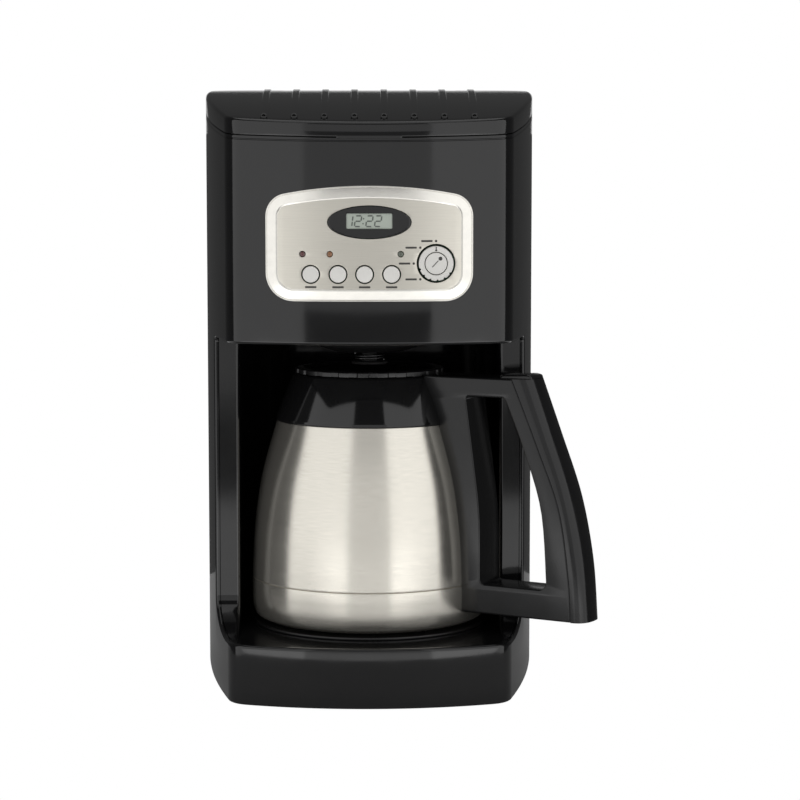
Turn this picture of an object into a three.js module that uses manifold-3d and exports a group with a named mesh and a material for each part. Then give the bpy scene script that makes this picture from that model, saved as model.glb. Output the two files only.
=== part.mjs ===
// Drip coffee maker with a steel thermal carafe: casing, hinged lid, controls, brewing parts and carafe.
// Millimetres, +Z up, the front faces -Y. X = 0 is the middle plane and the carafe stands on X = Y = 0.
// At the end the whole group moves so that the origin lies under the middle of its bounding box.
import * as THREE from 'three';
import { mergeVertices } from 'three/addons/utils/BufferGeometryUtils.js';
import Module from 'manifold-3d';

const wasm = await Module();
wasm.setup();

// ---------------------------------------------------------------- driving dimensions

// Plan outline: a bowed front, flared sides and a flat back, joined by round corners.
const FRONT_Y = -95;
const FRONT_R = 220;
const FRONT_CORNER_R = 17;
const SIDE_X = 102.7;
const SIDE_Y = 99;
const SIDE_R = 730;
const REAR_Y = 134;
const REAR_CORNER_R = 30;

// Heights
const FOOT_H = 3;
const DECK_Z = 38;
const HEAD_Z = 212.3;
const SEAM_FRONT_Z = 329.5;
const SEAM_SLOPE = 0.115;
const LID_FRONT_Z = 337.9;
const LID_RISE = 0.175;
const LID_DROP = 0.000301;

const WALL = 2.5;
const GAP = 0.3;

// Niche for the carafe
const NICHE_HALF = 77.5;
const NICHE_FRONT_Y = -24;
const NICHE_BACK_Y = 78;
const NICHE_CORNER_R = 58;
const SWEEP_LENGTH = 43;
const SWEEP_HEIGHT = 19;

// Lid hinge
const HINGE_Y = 131;
const HINGE_Z = 359.2;
const HINGE_PIN_R = 1.2;
const HINGE_HOLE_R = 1.5;
const HINGE_REACH = 70;
const EAR_X = [50, 56];
const RIM_FLAT_Y = 120;
const TAB_HALF = 18.5;

// Control panel
const PANEL = { half: 58.8, bottom: 237.2, top: 302.4, arch: 4.2, upperR: 13, lowerR: 16, rim: 7 };
const FRAME_PROUD = 1.8;
const PLATE_PROUD = 1.2;
const BUTTON_PROUD = 2.6;
const KNOB_PROUD = 4.2;
const WINDOW_Z = 281.9;
const WINDOW_HALF = [23.8, 9.45];
const LCD_HALF = [13, 4.4];
const LCD_Z = 282.5;
const BUTTON_X = [-33.1, -17.7, -2.7, 12.5];
const BUTTON_Z = 252.6;
const BUTTON_R = 4.6;
const LED_X = [-37.7, -22.3, 17.6];
const LED_Z = 264;
const LED_R = 1.5;
const KNOB = { x: 37.6, z: 258.7, r: 9.8, bore: 6.5, button: 6.1 };

// Carafe
const CARAFE_BASE_Z = 39.9;
const STEEL_TOP_Z = 160.7;
const COLLAR_TOP_Z = 189;
const CARAFE_SIDES = 32;
const HANDLE_ANGLE = THREE.MathUtils.degToRad(-30.5);
const HANDLE_THICK = 25;
const GRIP_THICK = 16;
const REST_RADIUS = 70;

// Curves of the handle as [distance from the carafe's axis, height]: its crease, its outer spine, and the
// carafe side and the outer side of the finger opening.
const HANDLE_CREASE = [[102.9, 190.2], [119.3, 152.3], [133.8, 115.6], [140, 77.3], [141.4, 50.7]];
const HANDLE_SPINE = [[114.6, 190.2], [125.8, 160.8], [139.2, 124.2], [147.3, 87.4], [150.5, 50.7]];
const OPENING_INNER = [[72.5, 179], [78.2, 138.9], [81.9, 108.5], [82.3, 70]];
const OPENING_OUTER = [[125.6, 71], [121.9, 114.7], [109.7, 151.7], [98.1, 179]];
const OPENING_FLOOR_Z = 68;

// Brewing parts
const BASKET_HOLE_R = 39.5;
const TANK_FRONT_Y = 83.5;
const TANK_BASE_Z = 58;
const TANK_TOP_Z = 322;
const INLET = { x: -60, y: 98 };
const RISER = { x: 88, y: 40 };
const HEATER = { r: 40, back: 55, z: 22 };

const FOOT_SPOTS = [[-62, -62], [62, -62], [-72, 105], [72, 105]];
const SCREW_SPOTS = [[-40, -68], [40, -68], [-40, 118], [40, 118]];

// ---------------------------------------------------------------- materials

function finish(color, roughness, metalness = 0, extra = {}) {
  return new THREE.MeshStandardMaterial({ color, roughness, metalness, ...extra });
}

const GLOSS_BLACK = () => finish(0x0d0d0e, 0.12);
const SATIN_BLACK = () => finish(0x141415, 0.45);
const STEEL = () => finish(0xc9c5bc, 0.28, 1);
const BRUSHED = () => finish(0xcfcbc0, 0.35, 1);
const SILVER = () => finish(0xd6d4cd, 0.35, 0.3);
const RUBBER = () => finish(0x1b1b1b, 0.85);
const SILICONE = () => finish(0xd8d4c8, 0.6);
const ALUMINIUM = () => finish(0xb5b7ba, 0.4, 1);
const CLEAR = () => finish(0xbfc8c8, 0.1, 0, { transparent: true, opacity: 0.5 });

// ---------------------------------------------------------------- solids

// A closed geometry as a manifold solid, for cutting and joining.
function solidOf(geometry) {
  const bare = geometry.clone();
  bare.deleteAttribute('normal');
  bare.deleteAttribute('uv');
  const merged = mergeVertices(bare, 1e-4);
  const index = merged.index.array;
  const kept = [];
  for (let i = 0; i < index.length; i += 3) {
    const [a, b, c] = [index[i], index[i + 1], index[i + 2]];
    if (a !== b && b !== c && c !== a) kept.push(a, b, c);
  }
  const triVerts = Uint32Array.from(kept);
  const vertProperties = merged.attributes.position.array;
  return new wasm.Manifold(new wasm.Mesh({ numProp: 3, vertProperties, triVerts }));
}

function geometryOf(solid) {
  const mesh = solid.getMesh();
  const geometry = new THREE.BufferGeometry();
  geometry.setAttribute('position', new THREE.BufferAttribute(mesh.vertProperties, 3));
  geometry.setIndex(new THREE.BufferAttribute(mesh.triVerts, 1));
  geometry.computeVertexNormals();
  return geometry;
}

function join(...solids) {
  return solids.reduce((a, b) => a.add(b));
}

function cut(solid, ...tools) {
  return tools.reduce((a, b) => a.subtract(b), solid);
}

const group = new THREE.Group();

function addPart(name, solidOrGeometry, material, parent = group) {
  const geometry = solidOrGeometry.isBufferGeometry ? solidOrGeometry : geometryOf(solidOrGeometry);
  const mesh = new THREE.Mesh(geometry, material);
  mesh.name = name;
  parent.add(mesh);
  return mesh;
}

function shapeOf(points, holes = []) {
  const shape = new THREE.Shape(points.map(([a, b]) => new THREE.Vector2(a, b)));
  for (const hole of holes) {
    shape.holes.push(new THREE.Path(hole.map(([a, b]) => new THREE.Vector2(a, b))));
  }
  return shape;
}

// A plan outline raised from z0 to z1.
function prism(points, z0, z1, holes = []) {
  const options = { depth: z1 - z0, bevelEnabled: false };
  return solidOf(new THREE.ExtrudeGeometry(shapeOf(points, holes), options).translate(0, 0, z0));
}

// An outline drawn in side view (Y, Z), extruded from x0 to x1.
function sidePrism(points, x0, x1) {
  const geometry = new THREE.ExtrudeGeometry(shapeOf(points), { depth: x1 - x0, bevelEnabled: false });
  const turn = new THREE.Matrix4().makeBasis(
    new THREE.Vector3(0, 1, 0), new THREE.Vector3(0, 0, 1), new THREE.Vector3(1, 0, 0));
  return solidOf(geometry.applyMatrix4(turn).translate(x0, 0, 0));
}

// An outline drawn in front view (X, Z), extruded from the nearer depth y0 back to y1.
function frontPrism(points, y0, y1, holes = []) {
  const geometry = new THREE.ExtrudeGeometry(shapeOf(points, holes), { depth: y1 - y0, bevelEnabled: false });
  const turn = new THREE.Matrix4().makeBasis(
    new THREE.Vector3(1, 0, 0), new THREE.Vector3(0, 0, 1), new THREE.Vector3(0, -1, 0));
  return solidOf(geometry.applyMatrix4(turn).translate(0, y1, 0));
}

function box(x0, x1, y0, y1, z0, z1) {
  const geometry = new THREE.BoxGeometry(x1 - x0, y1 - y0, z1 - z0);
  return solidOf(geometry.translate((x0 + x1) / 2, (y0 + y1) / 2, (z0 + z1) / 2));
}

// A profile of [radius, height] points turned about the Z axis.
function turned(profile, sides = 24) {
  const points = profile.map(([r, z]) => new THREE.Vector2(r, z));
  return solidOf(new THREE.LatheGeometry(points, sides).rotateX(Math.PI / 2));
}

function rod(x, y, r, z0, z1, sides = 16) {
  return turned([[0, z0], [r, z0], [r, z1], [0, z1]], sides).translate([x, y, 0]);
}

// A profile of [radius, distance] points turned about the Y axis, at (x, z).
function turnedFacingFront(profile, x, z, sides = 24) {
  return turned(profile, sides).rotate([90, 0, 0]).translate([x, 0, z]);
}

function frontRod(x, z, r, y0, y1, sides = 20) {
  return turnedFacingFront([[0, -y1], [r, -y1], [r, -y0], [0, -y0]], x, z, sides);
}

function crossRod(y, z, r, x0, x1, sides = 12) {
  return turned([[0, x0], [r, x0], [r, x1], [0, x1]], sides).rotate([0, 90, 0]).translate([0, y, z]);
}

// A hollow tube along a curve.
function tube(points, outer, inner, steps, sides = 8) {
  const stops = points.map((p) => new THREE.Vector3(...p));
  const path = new THREE.CatmullRomCurve3(stops, false, 'catmullrom', 0.5);
  const section = shapeOf(circle(0, 0, outer, sides), inner ? [circle(0, 0, inner, sides)] : []);
  return new THREE.ExtrudeGeometry(section, { extrudePath: path, steps, bevelEnabled: false });
}

// ---------------------------------------------------------------- outlines

function arc(cx, cy, r, from, to, steps) {
  return Array.from({ length: steps + 1 }, (_, i) => {
    const angle = from + ((to - from) * i) / steps;
    return [cx + r * Math.cos(angle), cy + r * Math.sin(angle)];
  });
}

function circle(cx, cy, r, sides = 16) {
  return arc(cx, cy, r, 0, 2 * Math.PI, sides).slice(0, -1);
}

function ellipse(cx, cy, a, b, sides = 32) {
  return circle(0, 0, 1, sides).map(([u, v]) => [cx + a * u, cy + b * v]);
}

function mirrored(points) {
  const other = points.map(([x, y]) => [-x, y]).reverse();
  return points.concat(other.filter(([x]) => Math.abs(x) > 1e-6));
}

// Centre of a circle of radius r that touches two larger circles from inside, on the +X side.
function touching(c1, r1, c2, r2, r) {
  const [d1, d2] = [r1 - r, r2 - r];
  const [dx, dy] = [c2[0] - c1[0], c2[1] - c1[1]];
  const d = Math.hypot(dx, dy);
  const along = (d1 * d1 - d2 * d2 + d * d) / (2 * d);
  const off = Math.sqrt(d1 * d1 - along * along);
  return [c1[0] + (along * dx - off * dy) / d, c1[1] + (along * dy + off * dx) / d];
}

// The machine seen from above, moved inwards by inset.
function planOutline(inset = 0) {
  const front = [0, FRONT_Y + FRONT_R];
  const side = [SIDE_X - SIDE_R, SIDE_Y];
  const rear = [SIDE_X - REAR_CORNER_R, REAR_Y - REAR_CORNER_R];
  const corner = touching(front, FRONT_R, side, SIDE_R, FRONT_CORNER_R);
  const toFront = Math.atan2(corner[1] - front[1], corner[0] - front[0]);
  const toSide = Math.atan2(corner[1] - side[1], corner[0] - side[0]);
  const half = [
    ...arc(...front, FRONT_R - inset, -Math.PI / 2, toFront, 7),
    ...arc(...corner, FRONT_CORNER_R - inset, toFront, toSide, 4).slice(1),
    ...arc(...side, SIDE_R - inset, toSide, 0, 4).slice(1),
    ...arc(...rear, REAR_CORNER_R - inset, 0, Math.PI / 2, 4),
  ];
  half.push([0, REAR_Y - inset]);
  return mirrored(half);
}

// Depth of the bowed front at x, at a given inset.
function frontDepth(x, inset = 0) {
  return FRONT_Y + FRONT_R - Math.sqrt((FRONT_R - inset) ** 2 - x * x);
}

function seamZ(y) {
  return SEAM_FRONT_Z + SEAM_SLOPE * (y - FRONT_Y);
}

function lidTopZ(y) {
  const u = y - FRONT_Y;
  return LID_FRONT_Z + LID_RISE * u - LID_DROP * u * u;
}

// The slab between the front surface moved in by a and by b, for the pieces of the control panel.
function frontSlab(a, b, half = 66, z0 = 228, z1 = 312) {
  const xs = Array.from({ length: 13 }, (_, i) => half * (i / 6 - 1));
  const outer = xs.map((x) => [x, frontDepth(x, a)]);
  const inner = xs.map((x) => [x, frontDepth(x, b)]).reverse();
  return prism(outer.concat(inner), z0, z1);
}

// A rounded frame outline with an arched top, seen from the front.
function panelOutline(inset) {
  const half = PANEL.half - inset;
  const top = PANEL.top - inset;
  const bottom = PANEL.bottom + inset;
  const shoulder = top - PANEL.arch;
  const upper = Math.max(PANEL.upperR - inset, 5);
  const lower = Math.max(PANEL.lowerR - inset, 6);
  const side = [
    [0, bottom],
    ...arc(half - lower, bottom + lower, lower, -Math.PI / 2, 0, 5),
    ...arc(half - upper, shoulder - upper, upper, 0, Math.PI / 2 - 0.15, 5),
    [half * 0.42, top - 0.8],
    [0, top],
  ];
  return mirrored(side);
}

// ---------------------------------------------------------------- casing

// The curve that sweeps the cheeks forward onto the deck, in side view.
function sweepCurve(deckZ) {
  const points = arc(0, 0, 1, Math.PI, 1.5 * Math.PI, 6);
  return points.map(([c, s]) => [
    NICHE_FRONT_Y - SWEEP_LENGTH * (1 + c),
    deckZ + SWEEP_HEIGHT * (1 + s),
  ]);
}

function nicheCutter() {
  const sweep = sweepCurve(DECK_Z);
  return sidePrism([
    [FRONT_Y - 20, HEAD_Z], [FRONT_Y - 20, DECK_Z], ...sweep.reverse(), [NICHE_FRONT_Y, HEAD_Z],
  ], -150, 150);
}

function hollowInterior(inset) {
  const outline = planOutline(inset);
  return join(prism(outline, -1, DECK_Z - WALL), prism(outline, DECK_Z, 400));
}

// Everything below the lid's seam; behind the hinge the rim is level.
function belowSeam(lower = 0) {
  const flat = seamZ(RIM_FLAT_Y) - lower;
  return sidePrism([
    [-200, -10], [200, -10], [200, flat], [RIM_FLAT_Y, flat], [-200, seamZ(-200) - lower],
  ], -150, 150);
}

function hingeEars() {
  const block = (x0, x1) => box(x0, x1, HINGE_Y - 2.5, HINGE_Y + 2.5, 345, HINGE_Z + 2);
  const ears = join(block(...EAR_X), block(-EAR_X[1], -EAR_X[0]));
  return cut(ears, crossRod(HINGE_Y, HINGE_Z, HINGE_HOLE_R, -60, 60));
}

function tabNotch() {
  return box(-TAB_HALF - GAP, TAB_HALF + GAP, FRONT_Y - 1, -85, SEAM_FRONT_Z - 2.6 - GAP, 340);
}

function mainHousing() {
  const shell = cut(prism(planOutline(), FOOT_H, 400), hollowInterior(WALL), nicheCutter());
  const posts = SCREW_SPOTS.map(([x, y]) => rod(x, y, 4.2, 6, DECK_Z - 1, 12));
  const bores = SCREW_SPOTS.map(([x, y]) => rod(x, y, 1.9, 5, 17, 10));
  return cut(
    join(shell.intersect(belowSeam(0.15)), hingeEars(), ...posts),
    ...bores,
    tabNotch(),
    frontPrism(panelOutline(2), -110, -80),
    rod(INLET.x, INLET.y, 8, 30, 45),
    rod(RISER.x, RISER.y, 7, 30, 45),
    levelWindowSlot(0),
    frontRod(-62, 20, 6.3, 120, 140),
  );
}

// Upright slot in the left wall, beside the tank.
function levelWindowSlot(inset) {
  return box(-110, -90, 92 + inset, 101 - inset, 90 + inset, 300 - inset);
}

function nichePath(offset) {
  const half = NICHE_HALF + offset;
  const r = NICHE_CORNER_R + offset;
  return [
    [half, NICHE_FRONT_Y + offset],
    ...arc(half - r, NICHE_BACK_Y + offset - r, r, 0, Math.PI / 2, 8),
    [0, NICHE_BACK_Y + offset],
  ];
}

function nicheLiner() {
  const inside = mirrored([[NICHE_HALF, NICHE_FRONT_Y - 1], ...nichePath(0).slice(1)]);
  const outside = mirrored([[120, NICHE_FRONT_Y], [120, NICHE_FRONT_Y + WALL], ...nichePath(WALL)]);
  const wall = cut(prism(outside, DECK_Z + GAP, HEAD_Z - 1), prism(inside, DECK_Z - 1, HEAD_Z + 1));
  const sweep = sweepCurve(DECK_Z + GAP);
  const wedgeSide = [...sweep, [NICHE_FRONT_Y + 0.5, DECK_Z + GAP], [NICHE_FRONT_Y + 0.5, sweep[0][1]]];
  const wedges = join(sidePrism(wedgeSide, NICHE_HALF, 120), sidePrism(wedgeSide, -120, -NICHE_HALF));
  return cut(
    join(wall, wedges).intersect(prism(planOutline(WALL + GAP), 0, 300)),
    rod(RISER.x, RISER.y, 7, 30, 220),
  );
}

function headFloor() {
  const region = prism(planOutline(WALL + GAP), HEAD_Z + 1, HEAD_Z + 3);
  return cut(
    region.intersect(box(-150, 150, -150, TANK_FRONT_Y - 1.5, 200, 230)),
    rod(0, 0, BASKET_HOLE_R, 200, 230, 40),
    rod(RISER.x - 1, RISER.y, 7, 200, 230),
  );
}

function basePlate() {
  const plate = prism(planOutline(WALL + 0.5), FOOT_H, FOOT_H + WALL);
  const holes = SCREW_SPOTS.map(([x, y]) => rod(x, y, 2.2, 0, 10, 12));
  const recesses = SCREW_SPOTS.map(([x, y]) => rod(x, y, 4.2, 0, FOOT_H + 1.3, 12));
  return cut(plate, ...holes, ...recesses);
}

function foot() {
  return turned([[0, 0], [7.2, 0], [8, 0.8], [8, FOOT_H - GAP], [0, FOOT_H - GAP]], 16);
}

function baseScrew() {
  return turned([[0, 3.2], [3.5, 3.2], [3.5, 4], [1.5, 4], [1.5, 15], [0, 15.8]], 10);
}

function buildCasing() {
  addPart('main_housing', mainHousing(), GLOSS_BLACK());
  addPart('niche_liner', nicheLiner(), GLOSS_BLACK());
  addPart('head_floor', headFloor(), SATIN_BLACK());
  addPart('base_plate', basePlate(), SATIN_BLACK());
  const [restLow, restHigh] = [DECK_Z + GAP, CARAFE_BASE_Z - GAP];
  addPart('carafe_rest_plate', turned([
    [0, restLow], [REST_RADIUS, restLow], [REST_RADIUS, restHigh - 0.4], [REST_RADIUS - 0.6, restHigh],
    [0, restHigh],
  ], 40), SATIN_BLACK());
  const window = cut(levelWindowSlot(GAP), prism(planOutline(WALL), 0, 320));
  addPart('water_level_window', window.intersect(prism(planOutline(), 0, 320)), CLEAR());
  FOOT_SPOTS.forEach(([x, y], i) => addPart(`foot_${i + 1}`, foot().translate([x, y, 0]), RUBBER()));
  SCREW_SPOTS.forEach(([x, y], i) => {
    addPart(`base_screw_${i + 1}`, baseScrew().translate([x, y, 0]), STEEL());
  });
  const gland = [
    [3.2, -134], [6, -134], [6, -131.2], [8.5, -131.2], [8.5, -128.5], [3.2, -128.5], [3.2, -134],
  ];
  addPart('cord_gland', turnedFacingFront(gland, -62, 20, 16), RUBBER());
}

// ---------------------------------------------------------------- lid

function lidSide(drop, low) {
  const ys = Array.from({ length: 9 }, (_, i) => FRONT_Y + ((REAR_Y - FRONT_Y) * i) / 8);
  const top = ys.map((y) => [y, lidTopZ(y) - drop]).reverse();
  return [[FRONT_Y, seamZ(FRONT_Y) - low], [REAR_Y, seamZ(REAR_Y) - low], ...top];
}

function lidRib(i) {
  const frontX = 8.4 + 17.1 * i;
  const rearX = 9.5 + 18.8 * i;
  const ys = [-79, -40, 0, 40, 80, 126];
  const top = ys.map((y) => [y, lidTopZ(y) + 0.9]);
  const under = ys.map((y) => [y, lidTopZ(y) - 1]).reverse();
  const lean = (Math.atan2(rearX - frontX, 210) * 180) / Math.PI;
  const rib = sidePrism([...under.reverse(), ...top.reverse()], -2.2, 2.2);
  return rib.translate([0, 79, 0]).rotate([0, 0, -lean]).translate([frontX, -79, 0]);
}

function lidCover() {
  const outer = prism(planOutline(), 300, 400).intersect(sidePrism(lidSide(0, 0), -150, 150));
  const inner = prism(planOutline(WALL), 300, 400).intersect(sidePrism(lidSide(WALL, 30), -150, 150));
  const barrelSide = [[127, seamZ(127)], [133, seamZ(133)], [133, 361], [127, 361]];
  const barrel = sidePrism(barrelSide, -HINGE_REACH, HINGE_REACH);
  const tab = prism(mirrored([
    [0, frontDepth(0)], [TAB_HALF, frontDepth(TAB_HALF)],
    [TAB_HALF, frontDepth(TAB_HALF, WALL)], [0, frontDepth(0, WALL)],
  ]), SEAM_FRONT_Z - 2.6, SEAM_FRONT_Z + 2);
  const ribs = [0, 1, 2, 3].flatMap((i) => [lidRib(i), lidRib(i).mirror([1, 0, 0])]);
  const notch = (x0, x1) => box(x0, x1, 124.5, 140, 340, 370);
  return cut(
    join(cut(outer, inner), barrel, tab, ...ribs),
    notch(EAR_X[0] - 0.5, EAR_X[1] + 0.5),
    notch(-EAR_X[1] - 0.5, -EAR_X[0] + 0.5),
    crossRod(HINGE_Y, HINGE_Z, HINGE_HOLE_R, -80, 80),
  );
}

function lidLiner() {
  const under = sidePrism(lidSide(WALL + GAP, 0), -150, 150);
  const above = sidePrism(lidSide(WALL + GAP + 1.2, 30), -150, 150);
  const plan = prism(planOutline(WALL + 3), 300, 400);
  return cut(under, above).intersect(plan).intersect(box(-150, 150, -150, 124, 300, 400));
}

function buildLid() {
  addPart('lid_cover', lidCover(), GLOSS_BLACK());
  addPart('lid_liner', lidLiner(), SATIN_BLACK());
  addPart('lid_hinge_pin', crossRod(HINGE_Y, HINGE_Z, HINGE_PIN_R, -62, 62), STEEL());
}

// ---------------------------------------------------------------- control panel

function controlBezel() {
  const opening = panelOutline(PANEL.rim);
  const flange = frontPrism(panelOutline(0), -110, -75, [opening]).intersect(frontSlab(-FRAME_PROUD, -GAP));
  const neck = frontPrism(panelOutline(2.3), -110, -75, [opening]).intersect(frontSlab(-0.5, WALL));
  return join(flange, neck);
}

function controlPlate() {
  const plate = frontPrism(panelOutline(PANEL.rim + GAP), -110, -75).intersect(frontSlab(-PLATE_PROUD, 0.6));
  const holes = BUTTON_X.map((x) => frontRod(x, BUTTON_Z, BUTTON_R + 0.4, -110, -75, 18));
  const lamps = LED_X.map((x) => frontRod(x, LED_Z, LED_R + GAP, -110, -75, 12));
  return cut(
    plate, ...holes, ...lamps,
    frontRod(KNOB.x, KNOB.z, KNOB.r + 0.5, -110, -75, 32),
    frontPrism(ellipse(0, WINDOW_Z, WINDOW_HALF[0], WINDOW_HALF[1]), -110, -75),
  );
}

function displayWindow() {
  const [a, b] = WINDOW_HALF;
  const [w, h] = LCD_HALF;
  const ring = frontPrism(ellipse(0, WINDOW_Z, a - GAP, b - GAP), -110, -75)
    .intersect(frontSlab(-FRAME_PROUD, 1.5));
  return cut(ring, box(-w - GAP, w + GAP, -110, -75, LCD_Z - h - GAP, LCD_Z + h + GAP));
}

function pushButton(x) {
  const face = frontDepth(x) - BUTTON_PROUD;
  const back = -84;
  return turnedFacingFront([
    [0, -back], [BUTTON_R, -back], [BUTTON_R, -face - 0.6], [BUTTON_R - 0.6, -face], [0, -face],
  ], x, BUTTON_Z, 18);
}

function selectorKnob() {
  const face = frontDepth(KNOB.x) - KNOB_PROUD;
  const ring = turnedFacingFront([
    [KNOB.bore, 86], [KNOB.r, 86], [KNOB.r, -face - 0.8], [KNOB.r - 0.8, -face], [KNOB.bore, -face],
    [KNOB.bore, 86],
  ], KNOB.x, KNOB.z, 32);
  const grip = [200, 225, 250, 275, 300, 325].map((degrees) => {
    const angle = THREE.MathUtils.degToRad(degrees);
    const [x, z] = [KNOB.x + KNOB.r * Math.cos(angle), KNOB.z + KNOB.r * Math.sin(angle)];
    return frontRod(x, z, 0.6, -110, -80, 8);
  });
  return cut(ring, ...grip);
}

function onOffButton() {
  const face = frontDepth(KNOB.x) - KNOB_PROUD - 0.2;
  return turnedFacingFront([
    [0, 84.5], [KNOB.button, 84.5], [KNOB.button, -face - 0.5], [KNOB.button - 0.5, -face], [0, -face],
  ], KNOB.x, KNOB.z, 24);
}

function indicatorLight(x) {
  const face = frontDepth(x) - 1.7;
  const profile = [[0, 86], [LED_R, 86], [LED_R, -face - 0.5], [0.7, -face], [0, -face]];
  return turnedFacingFront(profile, x, LED_Z, 12);
}

function buildControls() {
  addPart('control_bezel', controlBezel(), BRUSHED());
  addPart('control_plate', controlPlate(), BRUSHED());
  addPart('display_window', displayWindow(), GLOSS_BLACK());
  const [w, h] = LCD_HALF;
  addPart('lcd_display', box(-w, w, -95.4, -82, LCD_Z - h, LCD_Z + h), finish(0x8f988a, 0.3));
  addPart('circuit_board', box(-52, 52, -79.6, -78, 241, 298), finish(0x1f5a34, 0.6));
  const names = ['clean_button', 'cup_range_button', 'hour_button', 'minute_button'];
  names.forEach((name, i) => addPart(name, pushButton(BUTTON_X[i]), SILVER()));
  addPart('selector_knob', selectorKnob(), SILVER());
  addPart('on_off_button', onOffButton(), SILVER());
  const colours = [0x7a1d18, 0xa8672c, 0x7d8478];
  LED_X.forEach((x, i) => {
    addPart(`indicator_light_${i + 1}`, indicatorLight(x), finish(colours[i], 0.3));
  });
}

// ---------------------------------------------------------------- water and brewing

function waterTank() {
  const room = (inset, front, z0, z1) => prism(planOutline(inset), z0, z1)
    .intersect(box(-150, 150, front, 200, 0, 400));
  const wall = 2;
  const cup = cut(
    room(3, TANK_FRONT_Y, TANK_BASE_Z, TANK_TOP_Z),
    room(3 + wall, TANK_FRONT_Y + wall, TANK_BASE_Z + wall, 400),
  );
  const spout = rod(INLET.x, INLET.y, 5, 50, TANK_BASE_Z + 1);
  return cut(join(cup, spout), rod(INLET.x, INLET.y, 3.5, 40, 70, 12));
}

function heaterElement() {
  const { r, back, z } = HEATER;
  const bend = arc(0, 0, r, Math.PI, 2 * Math.PI, 8);
  const route = [[-r, back], [-r, back - 25], ...bend, [r, back - 25], [r, back]];
  const path = new THREE.CatmullRomCurve3(route.map(([x, y]) => new THREE.Vector3(x, y, z)));
  const section = shapeOf([...arc(0, 5, 5, 0, Math.PI, 4), ...arc(0, -5, 5, Math.PI, 2 * Math.PI, 4)]);
  return new THREE.ExtrudeGeometry(section, { extrudePath: path, steps: 18, bevelEnabled: false });
}

function dripStopSpring() {
  const turns = 2.5;
  const steps = 30;
  const radius = 8.6;
  const [low, high] = [196.9, 200.6];
  const points = Array.from({ length: steps + 1 }, (_, i) => {
    const angle = (i / steps) * turns * 2 * Math.PI;
    return [radius * Math.cos(angle), radius * Math.sin(angle), low + ((high - low) * i) / steps];
  });
  return tube(points, 0.45, 0, 36, 5);
}

function buildWater() {
  addPart('water_tank', waterTank(), SATIN_BLACK());
  const holder = [[0, 62], [13, 62], [14, 66], [14, 112], [9, 116], [0, 116]];
  addPart('water_filter_holder', turned(holder, 16).translate([20, 108, 0]), finish(0xe2e2dc, 0.5));
  addPart('inlet_hose', tube([
    [INLET.x, INLET.y, 49.6], [INLET.x, INLET.y, 38], [INLET.x + 1, INLET.y - 2, 27], [-50, 84, HEATER.z],
    [-HEATER.r, 70, HEATER.z], [-HEATER.r, HEATER.back + GAP, HEATER.z],
  ], 5, 3.4, 14, 6), SILICONE());
  addPart('heater_element', heaterElement(), ALUMINIUM());
  addPart('thermostat', rod(0, -HEATER.r, 7.5, HEATER.z + 5.6, HEATER.z + 11, 16), BRUSHED());
  addPart('riser_tube', tube([
    [HEATER.r, HEATER.back + GAP, HEATER.z], [HEATER.r, 60, HEATER.z], [50, 70, HEATER.z],
    [74, 64, HEATER.z], [86, 48, 25], [RISER.x, RISER.y, 34], [RISER.x, RISER.y, 60],
    [RISER.x, RISER.y, 180], [RISER.x - 1, RISER.y, 290], [84, 38, 309], [62, 28, 317], [16, 7, 318],
  ], 4.6, 3, 26, 6), SILICONE());
  const shower = [[0, 306], [22, 306], [24, 308], [24, 310], [9, 313], [9, 322], [0, 322]];
  const bore = crossRod(0, 0, 5.2, 0, 40).rotate([0, 0, 24]).translate([0, 0, 318]);
  addPart('shower_head', cut(turned(shower, 24), bore), SATIN_BLACK());
}

function buildBasket() {
  addPart('basket_housing', turned([
    [8, 201.5], [22, 202.6], [33, 206.2], [37.4, 211], [38, 215.4], [66, 222], [66, 296], [64, 296],
    [64, 223.8], [36, 217.4], [35.4, 212], [32, 208.2], [21.5, 204.7], [8, 203.5], [8, 201.5],
  ], 30), SATIN_BLACK());
  addPart('filter_basket', turned([
    [3, 209.4], [30.5, 209.4], [35, 218.5], [60, 232], [61.5, 298], [63.5, 298], [63.5, 300], [59.5, 300],
    [58, 233.5], [33.5, 220], [29.5, 211.4], [3, 211.4], [3, 209.4],
  ], 30), SATIN_BLACK());
  addPart('drip_stop_valve', turned([
    [0, 194.4], [10.5, 194.4], [11, 195], [11, 196], [4.5, 196], [4.5, 203.8], [2, 205.2], [0, 205.2],
  ], 20), RUBBER());
  addPart('drip_stop_spring', dripStopSpring(), STEEL());
}

// ---------------------------------------------------------------- carafe

// The steel wall's outline from the bottom corner to the collar, moved inwards.
function steelOutline(inset, steps = 10) {
  const curve = new THREE.SplineCurve([
    [64.5, 41.2], [69.2, 43.6], [71.2, 53], [71.2, 68], [69.6, 98], [64.9, 129], [55.9, STEEL_TOP_Z],
  ].map(([r, z]) => new THREE.Vector2(r, z)));
  return curve.getPoints(steps).map((p) => [p.x - inset, p.y]);
}

function carafeShell() {
  const outer = [[0, CARAFE_BASE_Z], [57, CARAFE_BASE_Z], ...steelOutline(0)];
  const inner = [...steelOutline(0.8, 8)].reverse();
  inner[0][1] = STEEL_TOP_Z;
  return turned([...outer, ...inner, [57, CARAFE_BASE_Z + 1.4], [0, CARAFE_BASE_Z + 1]], CARAFE_SIDES);
}

function carafeLiner() {
  const neck = [[45, 150], [41.5, 162], [41.5, 182]];
  const wall = [[0, 46], [54, 46], [63, 52], [66, 68], [64.5, 98], [59.5, 129], ...neck];
  const inside = wall.map(([r, z]) => [Math.max(r - 0.7, 0), z + (z < 60 ? 0.7 : 0)]);
  inside[inside.length - 1][1] = 182;
  return turned([...wall, ...inside.reverse()], CARAFE_SIDES);
}

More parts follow.
